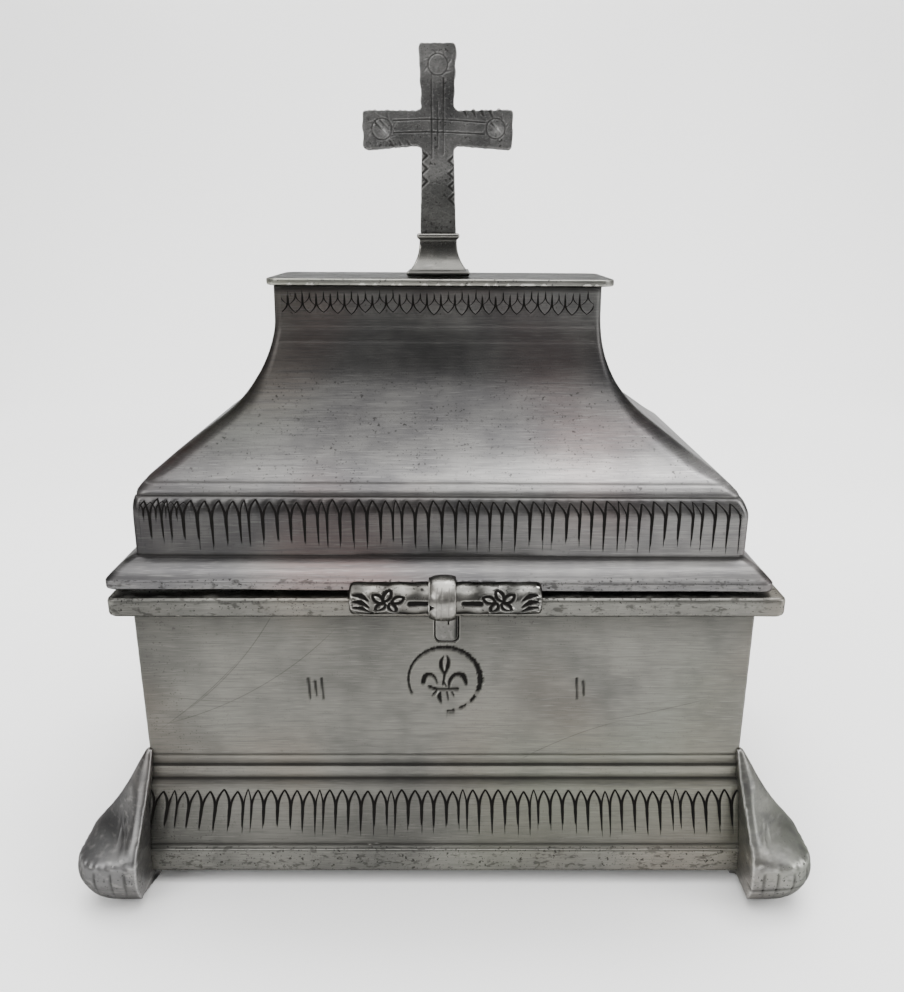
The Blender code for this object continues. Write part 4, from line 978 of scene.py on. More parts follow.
def make_lid(metal):
    edges = strike_edges(LID_STRIKE_PITCH, HALF_X, 8, 6)
    counts = np.arange(0, len(edges) - 1, 1 / LID_COLUMNS_PER_ARCH)
    shares = np.interp(counts, np.arange(len(edges)), edges) / HALF_X
    shares = shares[(shares > -0.997) & (shares < 0.997)]
    cols = columns(np.concatenate([[-1.0], shares, [1.0]]), 1.3, 3.2, 8)
    points, spacing = lid_outer()
    neck_reach, neck_top = points[-1]
    reach, height, run = walk(points, spacing, (DOUBLE_LINE_Z, FINE_LINE_Z, *FAINT_LINES))
    inner = lid_inner(neck_reach, neck_top)
    inner_radius = np.maximum(lid_corner(inner[:, 0] + LID_WALL, neck_reach) - LID_WALL, 0.4)
    radius = np.concatenate([lid_corner(reach, neck_reach), inner_radius])
    tip_run = np.interp(LID_STRIKE_TIP_Z, height, run)
    outside = np.concatenate([np.ones(len(height)), np.zeros(len(inner))])
    reach = np.concatenate([reach, inner[:, 0]])
    height = np.concatenate([height, inner[:, 1]])
    run = np.concatenate([run, np.full(len(inner), run[-1])])
    grid = ring_grid(cols, HALF_X + reach, HALF_Y + reach, radius, height, LID_SHIFT)
    normals = grid_normals(grid, True)

    x, z = grid[..., 0].copy(), grid[..., 2].copy()
    every = np.ones(len(cols))
    side = cols[:, 4]
    outside = outside[:, None] * every
    flat = (side < CORNER) * outside
    front = (side == FRONT) * outside
    depth = (tip_run - run)[:, None] * every
    count = np.interp(half_side(cols) * cols[:, 5], edges, np.arange(len(edges)))
    count = count - np.floor(count[0])
    on_band = flat * (z > FLANGE_TOP + 0.2) * (z < LID_STRIKE_TIP_Z + 0.5)
    arches = lancet_relief(count, depth, LID_STRIKE_PITCH, STRIKE_SHOULDER, LID_STRIKE_LENGTH)
    arches = arches * on_band * (side != BACK)

    neck_foot = neck_top - NECK_STRIKE_LENGTH - 1.0
    rise = z - neck_foot
    neck_edges = strike_edges(NECK_PITCH, 60.0, 2, 50)
    neck_places = (half_side(cols) + neck_reach) * cols[:, 5]
    neck_count = np.interp(neck_places, neck_edges, np.arange(len(neck_edges))) * np.ones_like(z)
    on_neck = flat * (z > neck_foot - 0.8)
    hearts = lancet_relief(neck_count, rise, NECK_PITCH, NECK_SHOULDER, NECK_STRIKE_LENGTH)
    hearts = hearts * on_neck * (side != BACK)

    line = (bell(z, DOUBLE_LINE_Z, 0.42) + 0.5 * bell(z, FINE_LINE_Z, 0.30)) * outside
    faint = sum(bell(z, level, 0.35) for level in FAINT_LINES) * front
    ridge = bell(z, DOUBLE_LINE_Z + 0.95, 0.4) * outside
    foot_line = bell(z, FLANGE_TOP + 0.2, 0.35) * outside * (reach[:, None] < 0.0)
    band_line = bell(z, BAND_LINE_Z, 0.22) * on_band
    dents = 0.10 * np.sin(x * 0.09 + 1.0) * np.sin(z * 0.13) * outside
    dip = 0.17 * arches + 0.15 * hearts + 0.30 * line + 0.10 * faint - 0.12 * ridge
    dip = dip + 0.15 * foot_line + dents
    grid -= normals * dip[..., None]
    grid[..., 0] += look_up(grid[..., 2], LID_DRIFT)
    grid[..., 2] += LID_TILT * grid[..., 0]

    lines = 0.85 * np.minimum(line, 1.0) + 0.22 * faint + 0.8 * foot_line + 0.85 * band_line
    values = lid_values(grid[..., 0], grid[..., 2], neck_top, front, outside, on_neck, lines)
    count = np.where(on_neck > 0.0, neck_count + NECK_COUNT, count * np.ones_like(z))
    depth = np.where(on_neck > 0.0, rise, depth)
    values["strike"] = np.stack([count, depth, np.maximum(on_band, on_neck)], axis=2)
    lid = ring_mesh("lid", grid, values, closed=True)
    cast(lid, metal, swell=0.16, swell_size=20.0, pit_depth=0.22, pit_size=1.0, pit_share=0.28)
    dress(lid, "lid_shell", "lid")


PLATE_CORNER = 5.0
PLATE_BEAD = 0.55


def make_plate(metal):
    low, high, middle, half = solid_box("lid_top_plate")
    cols = columns(np.linspace(-1.0, 1.0, 230), 2.4, 1.4, 8)
    rim = [(-3.0, low[2]), (-PLATE_BEAD, low[2])]
    rim += arc((-PLATE_BEAD, low[2] + PLATE_BEAD), PLATE_BEAD, -math.pi / 2, 0.0, 3)[1:]
    rim += [(0.0, middle[2])]
    rim += arc((-PLATE_BEAD, high[2] - PLATE_BEAD), PLATE_BEAD, 0.0, math.pi / 2, 3)
    rim = np.array(rim)
    insets = np.concatenate([np.arange(1.2, 6.0, 0.9), np.arange(6.0, half[1] - 1.0, 1.8)])
    reach = np.concatenate([[-half[1] + 1.0, -half[1] / 2], rim[:, 0], -insets])
    height = np.concatenate([[low[2], low[2]], rim[:, 1], np.full(len(insets), high[2])])
    radius = np.maximum(PLATE_CORNER + reach, 0.4)
    grid = ring_grid(cols, half[0] + reach, half[1] + reach, radius, height, middle[0] + 0.8)
    grid[..., 2] += LID_TILT * (grid[..., 0] - LID_SHIFT)
    edge = smooth(reach, -0.7, -0.1)[:, None] * np.ones(len(cols))
    # Painted dark reflection over the top's patina, and a painted highlight along the bead edge
    plate = ring_mesh("top_plate", grid, {"pits": 0.25 + 0.8 * edge, "tone": 0.14 + 1.0 * edge})
    cast(plate, metal, swell=0.16, swell_size=12.0, pit_depth=0.3, pit_size=1.1, pit_share=0.4)
    dress(plate, "lid_top_plate", "lid")


SOCLE_FOOT = 1.5
SOCLE_COLLAR = 2.1
SOCLE_LIP = 0.35
SOCLE_WAIST = np.array((6.2, 3.6))
SOCLE_TOP = np.array((7.05, 4.3))


def make_socle(metal):
    low, high, middle, half = solid_box("cross_socle")
    plan = half[:2]
    foot_top, collar_low = low[2] + SOCLE_FOOT, high[2] - SOCLE_COLLAR
    profile = [(*(plan - 3.0), low[2]), (*(plan - SOCLE_LIP), low[2]), (*plan, low[2] + SOCLE_LIP)]
    profile += [(*plan, foot_top - SOCLE_LIP), (*(plan - SOCLE_LIP), foot_top)]
    for share in np.linspace(0.0, 1.0, 22):
        size = SOCLE_WAIST + (plan - 0.9 - SOCLE_WAIST) * (1.0 - share) ** 2.4
        profile.append((*size, foot_top + (collar_low - foot_top) * share))
    for inset, height in ((0.3, collar_low + 0.5), (0.0, collar_low + 0.9), (0.0, high[2] - 0.4),
                          (0.4, high[2]), (3.0, high[2])):
        profile.append((*(SOCLE_TOP - inset), height))
    half_x, half_y, height = np.array(profile).T
    cols = columns(np.linspace(-1.0, 1.0, 40), 4.0, 6.0, 5)
    grid = ring_grid(cols, half_x, half_y, np.full(len(profile), 0.6), height, middle[0])
    z = grid[..., 2]
    # Darker bands where the waist meets the foot and just under the collar
    dirt_and_painted_shade = 0.55 * bell(z, foot_top, 0.4) + 0.6 * bell(z, collar_low + 0.3, 0.4)
    socle = ring_mesh("socle", grid, {"pits": np.full_like(z, 0.12), "dirt_and_painted_shade": dirt_and_painted_shade})
    cast(socle, metal, swell=0.10, swell_size=5.0, pit_depth=0.1)
    dress(socle, "cross_socle", "lid")


def remesh(piece, voxel, rounds):
    """Even, dense faces over a rough solid, with its edges worn soft."""
    modifier = piece.modifiers.new("remesh", "REMESH")
    modifier.mode = "VOXEL"
    modifier.voxel_size = voxel * MM
    worn = piece.modifiers.new("worn", "SMOOTH")
    worn.factor = 0.5
    worn.iterations = rounds
    return settle(piece)


def surface_of(piece):
    """Points in mm and outward directions of a mesh."""
    mesh = piece.data
    count = len(mesh.vertices)
    points = np.empty(count * 3, dtype=np.float32)
    normals = np.empty(count * 3, dtype=np.float32)
    mesh.vertices.foreach_get("co", points)
    mesh.vertex_normals.foreach_get("vector", normals)
    return points.reshape(-1, 3).astype(float) / MM, normals.reshape(-1, 3).astype(float)


def move_to(piece, points):
    piece.data.vertices.foreach_set("co", (points * MM).astype(np.float32).ravel())
    piece.data.update()


CROSS_HALF = 5.9
CROSS_FLARE = 0.7
CROSS_DROOP = 0.5
CROSS_ARM_Z = 32.0
CROSS_FILLET = 1.6
CROSS_CORNER = 1.3


def cross_outline(span, height):
    """The right half of the cross above its foot, with flared, slightly drooping arms."""
    waist = CROSS_HALF - CROSS_FLARE
    low, high = CROSS_ARM_Z - waist, CROSS_ARM_Z + waist
    end_low = CROSS_ARM_Z - CROSS_HALF - CROSS_DROOP
    end_high = CROSS_ARM_Z + CROSS_HALF - CROSS_DROOP
    corner, fillet = CROSS_CORNER, CROSS_FILLET
    right = [(CROSS_HALF, -0.6), (waist, low - fillet)]
    right += arc((waist + fillet, low - fillet), fillet, math.pi, math.pi / 2, 4)[1:]
    right += arc((span - corner, end_low + corner), corner, -math.pi / 2, 0.0, 3)
    right += arc((span - corner, end_high - corner), corner, 0.0, math.pi / 2, 3)
    right += arc((waist + fillet, high + fillet), fillet, -math.pi / 2, -math.pi, 4)
    right += arc((CROSS_HALF - corner, height - corner), corner, 0.0, math.pi / 2, 3)
    return right


# The straight lines cut into the cross: points, widths
CROSS_LINES = (
    (((-1.9, 23.0), (-2.0, 46.2)), (0.35, 0.49)),
    (((1.7, 24.0), (1.9, 46.6)), (0.35, 0.49)),
    (((0.0, 26.0), (0.1, 40.0)), (0.21, 0.28)),
    (((-14.2, 34.2), (-3.4, 34.6), (3.4, 34.4), (15.0, 33.6)), (0.42, 0.42)),
    (((-14.2, 30.6), (-3.4, 30.9), (3.4, 30.7), (15.0, 30.2)), (0.42, 0.42)),
    (((-20.0, 33.6), (-16.4, 30.0)), (0.63, 0.35)),
    (((-18.4, 34.2), (-15.6, 31.6)), (0.49, 0.28)),
    (((17.2, 33.4), (20.2, 30.2)), (0.56, 0.28)),
)


def cross_engraving(x, z, height):
    """The lines cut into the cross's front: paired lines, end circles, and zigzags along the edges."""
    cuts = [(points, widths, 0.9) for points, widths in CROSS_LINES]
    rings = []
    circles = ((0.1, height - 6.2, 3.1), (-17.9, CROSS_ARM_Z - 0.3, 3.2), (18.6, CROSS_ARM_Z - 0.2, 3.0))
    for cx, cz, radius in circles:
        rings.append(0.8 * (1.0 - smooth(np.abs(np.hypot(x - cx, z - cz) - radius), 0.06, 0.34)))
        for angle in range(0, 360, 45):
            turn = math.radians(angle + 10.0)
            ends = [
                (cx + (radius + out) * math.cos(turn + lean), cz + (radius + out) * math.sin(turn + lean))
                for out, lean in ((0.4, 0.0), (1.7, 0.25))
            ]
            cuts.append((ends, (0.5, 0.2), 0.55))
    for side, low, number in ((-1, 14.0, 3), (1, 8.5, 4)):
        for index in range(number):
            base = low + index * 3.9
            tooth = ((side * 5.6, base), (side * 3.5, base + 1.9), (side * 5.6, base + 3.8))
            cuts.append((tooth, (0.5, 0.8, 0.5), 0.9))
    for side, start, number, edge, inward in ((-1, 9.0, 3, -5.6, 1.9), (1, 8.5, 4, 5.1, -1.9)):
        for index in range(number):
            at = side * (start + index * 2.7)
            notch = ((at, CROSS_ARM_Z + edge), (at + side * 0.9, CROSS_ARM_Z + edge + inward))
            cuts.append((notch, (1.1, 0.4), 0.8))
    return np.maximum.reduce([carve(x, z, cuts), *rings])


def cross_raggedness(x, z):
    """How far the cross's uneven edges stand out: chipped above the right arm, eaten below the left."""
    upper = smooth(z, 24.0, 30.0)
    ragged = 0.30 * (np.sin(x * 2.3 + 0.7) * np.sin(x * 0.9 + z * 1.1)) * upper
    ragged = ragged + 0.45 * np.maximum(np.sin(x * 2.33), 0.0) * (x > 8.0) * (z > CROSS_ARM_Z)
    eaten = (x < -8.0) * (x > -17.0) * (z < CROSS_ARM_Z)
    return ragged - 0.5 * np.maximum(np.sin(x * 2.1 + 1.0), 0.0) * eaten


def make_cross(metal):
    low, high, middle, half = solid_box("cross")
    height = high[2] - low[2]
    right = cross_outline(half[0], height)
    outline = right + [(-x, z) for x, z in reversed(right)]
    count = len(outline)
    points = [(x + middle[0], y, z + low[2]) for y in (-half[1], half[1]) for x, z in outline]
    faces = [list(range(count)), [count + index for index in range(count)][::-1]]
    for index in range(count):
        after = (index + 1) % count
        faces.append([after, index, count + index, count + after])
    cross = plain_mesh("cross_cast", points, faces, {})
    remesh(cross, 0.29, 4)
    place, out = surface_of(cross)
    x, z = place[:, 0] - middle[0], place[:, 2] - low[2]
    facing = smooth(-out[:, 1], 0.35, 0.75)
    deep = cross_engraving(x, z, height) * facing
    side_face = 1.0 - np.abs(out[:, 1])
    dip = 0.38 * deep - 0.8 * cross_raggedness(x, z) * side_face + 0.08 * np.sin(z * 0.5) * facing
    move_to(cross, place - out * dip[:, None])
    rough_foot = smooth(22.0 - z, 0.0, 12.0)
    chips = bell(np.hypot(x + 17.0, z - 31.0), 0.0, 1.5) + bell(np.hypot(x - 19.2, z - 31.4), 0.0, 1.5)
    tone = 1.15 - 0.45 * rough_foot + 1.6 * chips * facing
    give_values(cross, {"pits": 0.9 + 1.2 * rough_foot, "dirt_and_painted_shade": 0.9 * deep * (1.0 - chips), "tone": tone})
    cast(cross, metal, swell=0.34, swell_size=3.0, pit_depth=0.32, pit_size=0.9, pit_share=0.5)
    dress(cross, "cross", "lid")


# Hinge bar: leaf strokes at each end, a flower of outlined petals, and a dash beside the strap
# Each petal is (along the bar, up round it, half length, angle)
PETALS = (
    (0.3, 2.2, 1.75, 118.0), (2.5, 1.3, 1.65, 38.0), (1.9, -1.6, 1.7, -42.0), (-0.9, -1.9, 1.7, 248.0),
    (-2.2, 0.9, 1.6, 160.0),
)


def petal(x, y, middle, angle, length=1.9, width=1.05):
    """The cut outline of one leaf-shaped petal."""
    turn = math.radians(angle)
    along = (x - middle[0]) * math.cos(turn) + (y - middle[1]) * math.sin(turn)
    across = -(x - middle[0]) * math.sin(turn) + (y - middle[1]) * math.cos(turn)
    shape = np.clip(1.0 - (along / length) ** 2, 0.0, 1.0) * width
    inside = np.abs(along) < length + 0.25
    return (1.0 - smooth(np.abs(np.abs(across) - shape), 0.36, 0.72)) * inside


def bar_engraving(x, y):
    """x runs along the bar and y up round its front, from 0 to 1."""
    cuts = [(((5.4, -0.2), (10.2, -0.4)), (1.5, 1.9), 1.0)]
    for lift in (-2.6, -0.6, 1.5):
        leaf = curve(((27.0, lift + 0.9), (24.6, lift + 0.7), (22.4, lift - 0.9)))
        cuts.append((leaf, (0.6, 1.75, 0.5), 1.0))
    deep = []
    for side, flower in ((-1, 16.6), (1, 15.4)):
        along = x * side
        deep.append(carve(along, y, cuts))
        for px, py, size, angle in PETALS:
            deep.append(petal(along, y, (flower + px * 1.25, py), angle, size + 0.35))
    return np.maximum.reduce(deep)


def turn_outward(piece):
    """Turn all faces of a closed mesh outwards."""
    work = bmesh.new()
    work.from_mesh(piece.data)
    bmesh.ops.recalc_face_normals(work, faces=work.faces)
    work.to_mesh(piece.data)
    work.free()


BAR_BEND = 1.3
BAR_STEP = 0.24
BAR_DEPTH = 0.50


def make_bar(metal):
    _, _, middle, half_size = solid_box("hinge_bar")
    half, radius = half_size[0], half_size[2]
    ends = [(-half, radius * 0.35), (-half, radius - BAR_BEND - 0.6)]
    ends += [
        (-half + BAR_BEND - BAR_BEND * math.sin(turn), radius - BAR_BEND + BAR_BEND * math.cos(turn))
        for turn in np.linspace(math.pi / 2, 0.0, 6)
    ]
    body = [(x, radius) for x in np.arange(-half + BAR_BEND + BAR_STEP, half - BAR_BEND, BAR_STEP)]
    stations = np.array(ends + body + [(-x, size) for x, size in reversed(ends)])
    turns = np.linspace(0.0, 2 * math.pi, 121)[:-1]
    x, angle = np.meshgrid(stations[:, 0], turns, indexing="ij")
    size = stations[:, 1][:, None] * np.ones(len(turns))
    up_round = (math.pi - angle) * radius
    facing = (np.abs(up_round) < 7.0) & (size > radius * 0.93)
    deep = bar_engraving(x, up_round - 0.4) * facing
    lumpy = 0.10 * np.sin(x * 0.8) * np.sin(angle * 3.0 + x * 0.21)
    size = size - BAR_DEPTH * deep + lumpy * (size > radius * 0.9) - 0.12
    y, z = middle[1] + size * np.cos(angle), middle[2] + size * np.sin(angle)
    grid = np.stack([x + middle[0] + 0.5, y, z], axis=2)
    # Painted shade where the bar turns away above and below its front, over an uneven tone
    tone = 0.72 + 0.3 * np.sin(x * 0.7 + 1.0) * np.sin(angle * 2.0) - 0.4 * bell(np.abs(up_round), 7.0, 3.0)
    values = {"pits": np.full_like(x, 1.25), "dirt_and_painted_shade": np.clip(1.15 * deep, 0.0, 1.0), "tone": tone}
    bar = ring_mesh("bar", grid, values)
    turn_outward(bar)
    cast(bar, metal, swell=0.12, swell_size=3.5, pit_depth=0.14, pit_size=0.9, pit_share=0.3)
    dress(bar, "hinge_bar", "lid")


STRAP_RADIUS = 6.87
STRAP_HALF = 4.05


def make_strap(metal):
    """The strap is the solid's own form, worn soft, with a nick at its left edge."""
    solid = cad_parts["hinge_strap"]
    strap = bpy.data.objects.new("strap", solid.data.copy())
    bpy.context.scene.collection.objects.link(strap)
    strap.data.transform(solid.matrix_world)
    strap.data.materials.clear()
    remesh(strap, 0.22, 8)
    place, out = surface_of(strap)
    _, _, axis, _ = solid_box("hinge_bar")
    away = np.hypot(place[:, 1] - axis[1], place[:, 2] - axis[2])
    ring = smooth(away, 5.6, 6.0)
    x, z = place[:, 0], place[:, 2]
    off_middle = np.abs(x - STRAP_MIDDLE[0])
    radial = (place[:, 1:] - axis[1:]) / np.maximum(away, 1.0)[:, None]
    top = STRAP_RADIUS - 0.85 * np.clip(off_middle / STRAP_HALF, 0.0, 1.0) ** 3
    crown = smooth((out[:, 1:] * radial).sum(axis=1), 0.3, 0.7) * (away > 6.0)
    size = np.where(away < 7.15, np.minimum(away + crown * (top - away), top), away)
    place[:, 1:] = axis[1:] + radial * size[:, None]
    front = smooth(-out[:, 1], 0.2, 0.5) * ring
    nick = stroke(x, z, ((-4.3, axis[2] - 0.6), (-3.0, axis[2] - 0.3)), (1.9, 0.5)) * front
    scratch = sum(
        stroke(x, z, ((at, axis[2] - 4.5 + at), (at + 0.3, axis[2] + 5.0)), (0.16, 0.26), 0.1)
        for at in (-2.2, -0.8, 1.4)
    )
    slot = stroke(x, z, ((1.3, RIM_LOW - 5.0), (1.3, RIM_LOW - 0.4)), (0.45, 0.45), 0.1) * (away > 7.5)
    dip = 0.45 * nick + 0.04 * scratch * front + 0.3 * slot
    move_to(strap, place - out * dip[:, None])
    tongue = smooth(away, 7.3, 8.2)
    # Painted highlight on the ring's crown, fading to painted shade at its sides; the tongue is darker
    painted_dome_light = 1.25 - 0.75 * tongue - 0.5 * smooth(off_middle, 2.6, 4.1)
    dirt = np.clip(nick + 0.4 * scratch * front + slot, 0.0, 1.0)
    give_values(strap, {"pits": np.full(len(x), 0.4), "dirt_and_painted_shade": dirt, "tone": painted_dome_light})
    cast(strap, metal, swell=0.08, swell_size=2.5, pit_depth=0.12, pit_size=0.8, pit_share=0.3)
    dress(strap, "hinge_strap", "box")


# Feet: height and reach out of the walls' corner, and height and how far in the leaf's edges start
FOOT_LEVELS = (
    (0.0, 13.2), (4.1, 18.4), (9.0, 20.9), (15.5, 21.5), (19.7, 20.2), (23.5, 17.0), (27.4, 13.5),
    (35.1, 7.9), (42.7, 3.5), (47.0, 0.9),
)
FOOT_SETS = ((0.0, -0.5), (10.0, -0.5), (20.0, -0.2), (30.0, 0.3), (40.0, 1.1), (47.0, 1.5))
BOWL_MIDDLES = ((14.0, 9.4), (36.0, 4.9), (47.0, 0.8))
FOOT_LIP = 2.6
FOOT_TOE_Z = 17.4
FOOT_TOE_RADIUS = 10.0
FOOT_TOP = 47.0
FOOT_BOWL_HEIGHT = 16.0
FOOT_SOLE_SET = 2.0
FOOT_STEPS = 56
FOOT_SIDE_STEPS = 6
TOE_LINES = (-0.35, 0.05, 0.45, 0.82, 1.22, 1.62, 1.95)

# How far the base stands out behind the feet
BASE_REACHES = (
    (0.0, 0.0), (5.4, 0.0), (5.5, 7.0), (14.2, 7.0), (16.0, 6.1), (35.4, 3.1), (36.6, 1.0), (42.0, 0.9),
    (42.6, 0.1), (60.0, 0.0),
)
FOOT_SEAT = 0.25


def foot_reach(height):
    """A smooth curve through the foot's outline."""
    levels = np.array(FOOT_LEVELS)
    z, r = levels[:, 0], levels[:, 1]
    slopes = np.gradient(r, z)
    index = np.clip(np.searchsorted(z, height, side="right") - 1, 0, len(z) - 2)
    gap = z[index + 1] - z[index]
    t = (height - z[index]) / gap
    return (
        (2 * t ** 3 - 3 * t * t + 1) * r[index] + (t ** 3 - 2 * t * t + t) * gap * slopes[index]
        + (3 * t * t - 2 * t ** 3) * r[index + 1] + (t ** 3 - t * t) * gap * slopes[index + 1]
    )


def wall_reach(height):
    """Where the foot's back begins, set a little into the base so that no slit shows."""
    return look_up(height, BASE_REACHES) - FOOT_SEAT


def foot_section(height):
    """One level of a foot as (u, v) reaches: a deep leaf bowl above, a rounded toe below."""
    inner = float(max(wall_reach(height + shift) for shift in (-0.6, 0.0, 0.6)))
    reach = max(float(foot_reach(height)), inner + 0.5)
    sole = float(smooth((PLINTH_LOW - height) / PLINTH_LOW))
    set_in = float(look_up(height, FOOT_SETS)) - sole * FOOT_SOLE_SET
    radius = min(FOOT_TOE_RADIUS, reach * 0.6)
    centre = reach - radius
    share = np.linspace(0.0, 1.0, FOOT_STEPS)
    bend_end = centre + radius * math.pi / 2
    run = share * (bend_end + centre)
    turn = np.clip((run - centre) / radius, 0.0, math.pi / 2)
    toe_u = np.where(run <= centre, reach, centre + radius * np.cos(turn))
    toe_v = np.where(run <= centre, run, centre + radius * np.sin(turn))
    past = run > bend_end
    toe_u = np.where(past, centre - (run - bend_end), toe_u)
    toe_v = np.where(past, reach, toe_v)

    lip = -set_in + min(FOOT_LIP, reach * 0.35)
    toe_middle = centre + radius * math.sqrt(0.5)
    bowl_share = min(max((height - FOOT_TOE_Z) / FOOT_BOWL_HEIGHT, 0.0), 1.0)
    bowl_depth = math.sqrt(1.0 - (1.0 - bowl_share) ** 2)
    floor_middle = float(look_up(height, BOWL_MIDDLES))
    middle = toe_middle + (floor_middle - toe_middle) * bowl_depth * 0.74
    pull = 2 * middle - 0.5 * (reach + lip)
    bowl_u = (1 - share) ** 2 * reach + 2 * share * (1 - share) * pull + share ** 2 * lip
    bowl_v = (1 - share) ** 2 * lip + 2 * share * (1 - share) * pull + share ** 2 * reach
    blend = float(smooth((height - FOOT_TOE_Z) / (FOOT_BOWL_HEIGHT * 0.35)))
    u = toe_u + (bowl_u - toe_u) * blend
    v = toe_v + (bowl_v - toe_v) * blend
    edge = np.linspace(-set_in, 0.0 if set_in > 0 else 0.1, FOOT_SIDE_STEPS + 1)[:-1]
    side = np.full(FOOT_SIDE_STEPS, reach)
    return (
        np.concatenate([[-set_in, inner, inner], side, u, edge[::-1]]),
        np.concatenate([[inner, inner, -set_in], edge, v, side]),
    )


def foot_relief(u, v, height, out_u, out_v, out_z, sign_x):
    """How deep a foot is cut or worn at each place, and its vertex values, with painted light on its inner
    faces.
    """
    outermost = np.maximum(u, v)
    around = np.arctan2(v - 9.0, u - 9.0)
    toe_face = smooth(FOOT_TOE_Z - height, 0.5, 2.0) * (1.0 - np.abs(out_z)) * smooth(outermost, 14.0, 18.0)
    lines = sum(bell(around, at, 0.030) for at in TOE_LINES) * toe_face
    groove = bell(height, 9.8 + 0.6 * np.sin(around * 2.0), 0.55) * toe_face * (1.0 if sign_x > 0 else 0.25)
    chips = bell(np.hypot(u - 6.3, (height - 24.5) * 0.8), 0.0, 2.0)
    chips = chips * smooth(np.sin(u * 2.1) * np.sin(height * 1.9 + v), -0.5, 0.4)
    chips = chips * smooth(out_v, 0.1, 0.4) * (1.0 if sign_x < 0 else 0.3)
    rim = bell(height, FOOT_TOE_Z + 0.6, 0.9) * smooth(outermost, 12.0, 17.0)
    ragged = rim * (0.35 * np.sin(around * 21.0) * np.sin(around * 8.0 + 1.0) + 0.1)
    dip = 0.32 * lines + 0.42 * groove + 0.45 * chips + 0.6 * ragged
    inner_side = smooth(np.where(v > u, -out_u, -out_v), 0.5, 0.9)
    dirt_and_painted_shade = 0.75 * lines + 0.8 * groove + 0.85 * chips + 0.35 * smooth(3.0 - height, 0.0, 3.0)
    pits = 0.16 + 1.2 * toe_face + 0.6 * rim
    # Painted light on the foot's inner faces, where shade falls beside the wall, and a lighter toe rim
    painted_foot_light = 0.95 + 1.3 * inner_side + 0.7 * rim
    return dip, {"pits": pits, "dirt_and_painted_shade": np.clip(dirt_and_painted_shade, 0.0, 1.0), "tone": painted_foot_light}


def make_foot(label, sign_x, sign_y, metal):
    toe = np.concatenate([[0.0, 0.25, 0.7], np.linspace(1.2, FOOT_TOE_Z, 34)])
    leaf = np.concatenate([FOOT_TOE_Z + np.linspace(0.3, 11.0, 34), np.linspace(29.0, FOOT_TOP, 34)])
    levels = np.concatenate([toe, leaf])
    rows_u, rows_v = zip(*(foot_section(level) for level in levels))
    u, v = np.array(rows_u), np.array(rows_v)
    z = levels[:, None] * np.ones(u.shape[1])
    foot = ring_mesh(label, np.stack([sign_x * (HALF_X + u), sign_y * (HALF_Y + v), z], axis=2), {})
    turn_outward(foot)
    remesh(foot, 0.5, 22)
    place, out = surface_of(foot)
    u, v = sign_x * place[:, 0] - HALF_X, sign_y * place[:, 1] - HALF_Y
    dip, values = foot_relief(u, v, place[:, 2], out[:, 0] * sign_x, out[:, 1] * sign_y, out[:, 2], sign_x)
    move_to(foot, place - out * dip[:, None])
    give_values(foot, values)
    cast(foot, metal, swell=0.22, swell_size=9.0, pit_depth=0.25, pit_size=1.1, pit_share=0.3)
    dress(foot, label.replace("cast_", ""), "box")


def paint_stage():
    paint = Paint("pale_floor")
    tone = paint.noise(3.0, 0.0).step(0.3, 0.7)
    paint.link(paint.mix((0.93, 0.93, 0.925), (0.96, 0.96, 0.955), tone), "Base Color")
    paint.shader.inputs["Roughness"].default_value = 0.9
    return paint.material


def make_stage():
    """A pale floor that sweeps up behind the casket."""
    profile = [(-1.4, 0.0), (0.7, 0.0)]
    profile += [(0.7 + 0.5 * math.sin(t), 0.5 - 0.5 * math.cos(t)) for t in np.linspace(0.1, math.pi / 2, 14)]
    profile.append((1.2, 2.2))
    half = 3.6
    points = [(x / MM, y / MM, (z - 0.0002) / MM) for y, z in profile for x in (-half, half)]
    faces = [[2 * i, 2 * i + 1, 2 * i + 3, 2 * i + 2] for i in range(len(profile) - 1)]
    floor = plain_mesh("floor", points, faces, {})
    floor.data.materials.append(paint_stage())
    floor.data.shade_smooth()


def add_light(name, place, target, width, height, power):
    light = bpy.data.lights.new(name, "AREA")
    light.shape = "RECTANGLE"
    light.size = width
    light.size_y = height
    light.energy = power
    lamp = bpy.data.objects.new(name, light)
    lamp.location = place
    lamp.rotation_euler = (Vector(target) - Vector(place)).to_track_quat("-Z", "Y").to_euler()
    bpy.context.scene.collection.objects.link(lamp)


# How light the room is, from straight down to straight up
ROOM_LEVELS = ((0.0, 0.50), (0.48, 0.16), (0.56, 0.14), (0.72, 0.42), (0.86, 0.95), (1.0, 1.1))

# Each light is its name, place, target, width, height and power
LIGHTS = (
    ("overhead", (0.1, -0.15, 1.3), (0.0, 0.0, 0.1), 1.4, 1.0, 21.0),
    ("front_left", (-0.9, -1.1, 0.95), (0.0, 0.0, 0.1), 0.9, 0.9, 12.0),
    ("right", (1.2, -0.4, 0.6), (0.0, 0.0, 0.12), 0.5, 0.9, 8.0),
    ("backdrop", (0.0, 0.5, 1.7), (0.0, 1.1, 0.4), 2.0, 0.6, 30.0),
)


def make_room():
    """A soft room: bright above, dim at eye level in front."""
    world = bpy.data.worlds.new("room")
    world.use_nodes = True
    tree = world.node_tree
    back = tree.nodes["Background"]
    way = add_node(tree, "ShaderNodeTexCoord").outputs["Generated"]
    upward = add_node(tree, "ShaderNodeSeparateXYZ", inputs={0: way}).outputs[2]
    lift = add_node(tree, "ShaderNodeMapRange", inputs={"From Min": -1.0, "Value": upward})
    ramp = add_node(tree, "ShaderNodeValToRGB", inputs={"Fac": lift.outputs["Result"]})
    stops = ramp.color_ramp.elements
    while len(stops) < len(ROOM_LEVELS):
        stops.new(0.5)
    for stop, (position, value) in zip(stops, ROOM_LEVELS):
        stop.position = position
        stop.color = (value, value, value, 1.0)
    tree.links.new(ramp.outputs["Color"], back.inputs["Color"])
    back.inputs["Strength"].default_value = 1.15
    bpy.context.scene.world = world
    for given in LIGHTS:
        add_light(*given)


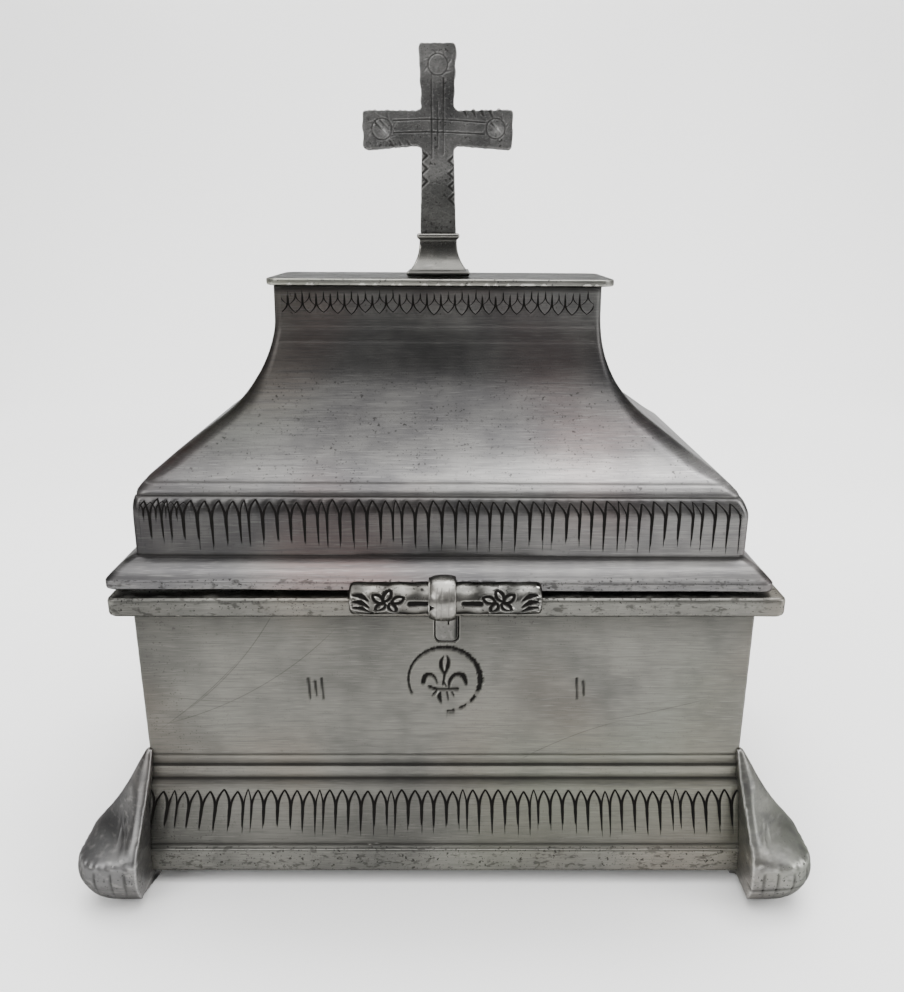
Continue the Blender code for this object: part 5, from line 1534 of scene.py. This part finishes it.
def place_camera():
    camera = bpy.data.cameras.new("camera")
    camera.sensor_width = 36.0
    camera.lens = CAMERA_FOCAL / IMAGE_HEIGHT * camera.sensor_width
    camera.clip_start = 0.01
    eye = bpy.data.objects.new("camera", camera)
    eye.location = [value * MM for value in CAMERA_PLACE]
    eye.rotation_euler = (math.radians(90.0 - CAMERA_PITCH), 0.0, 0.0)
    bpy.context.scene.collection.objects.link(eye)
    bpy.context.scene.camera = eye


place_camera()
make_room()
make_stage()

SCRATCHES = (
    (-150.0, 150.0, 112.0, -84.0, -44.0), (-190.0, 190.0, 168.0, -92.0, -60.0),
    (-120.0, 170.0, 118.0, -90.0, -30.0), (-60.0, 260.0, 196.0, -88.0, -58.0),
    (90.0, -60.0, 122.0, 20.0, 60.0), (10.0, 300.0, 246.0, 50.0, 88.0),
)
wall_metal = pewter("wall_pewter", (0.105, 0.104, 0.096), (0.190, 0.186, 0.168), (0.200, 0.166, 0.132),
                    0.30, (60.0, 60.0, 1900.0), 0.42, base_strikes, 0.4, 1.0, SCRATCHES)
roof_metal = pewter("roof_pewter", (0.092, 0.090, 0.092), (0.178, 0.174, 0.168), (0.185, 0.132, 0.124),
                    0.24, (55.0, 55.0, 1500.0), 0.36, lid_strikes, 0.6)
foot_metal = pewter("foot_pewter", (0.105, 0.104, 0.104), (0.195, 0.190, 0.182), (0.200, 0.170, 0.148),
                    0.28, (120.0, 120.0, 300.0), 0.36)
plate_metal = pewter("plate_pewter", (0.100, 0.100, 0.095), (0.200, 0.196, 0.180), (0.190, 0.165, 0.135),
                     0.28, (60.0, 900.0, 900.0), 0.4)
bright_metal = pewter("bright_pewter", (0.120, 0.119, 0.112), (0.260, 0.254, 0.236), (0.240, 0.208, 0.172),
                      0.22, (200.0, 200.0, 200.0), 0.4, None, 0.2, 0.6)
socle_metal = pewter("socle_pewter", (0.060, 0.060, 0.058), (0.125, 0.122, 0.114), (0.110, 0.095, 0.080),
                     0.20, (60.0, 60.0, 300.0), 0.2, None, 0.2, 0.3)
cross_metal = pewter("cross_pewter_paint", (0.045, 0.045, 0.045), (0.140, 0.138, 0.134),
                     (0.085, 0.074, 0.064), 0.36, (400.0, 400.0, 700.0), 0.55, None, 0.2, 2.4)

make_box(wall_metal)
make_lid(roof_metal)
make_plate(plate_metal)
make_socle(socle_metal)
make_cross(cross_metal)
make_bar(bright_metal)
make_strap(bright_metal)
for end, sign_y in (("front", -1), ("back", 1)):
    for side, sign_x in (("left", -1), ("right", 1)):
        make_foot("cast_foot_" + end + "_" + side, sign_x, sign_y, foot_metal)
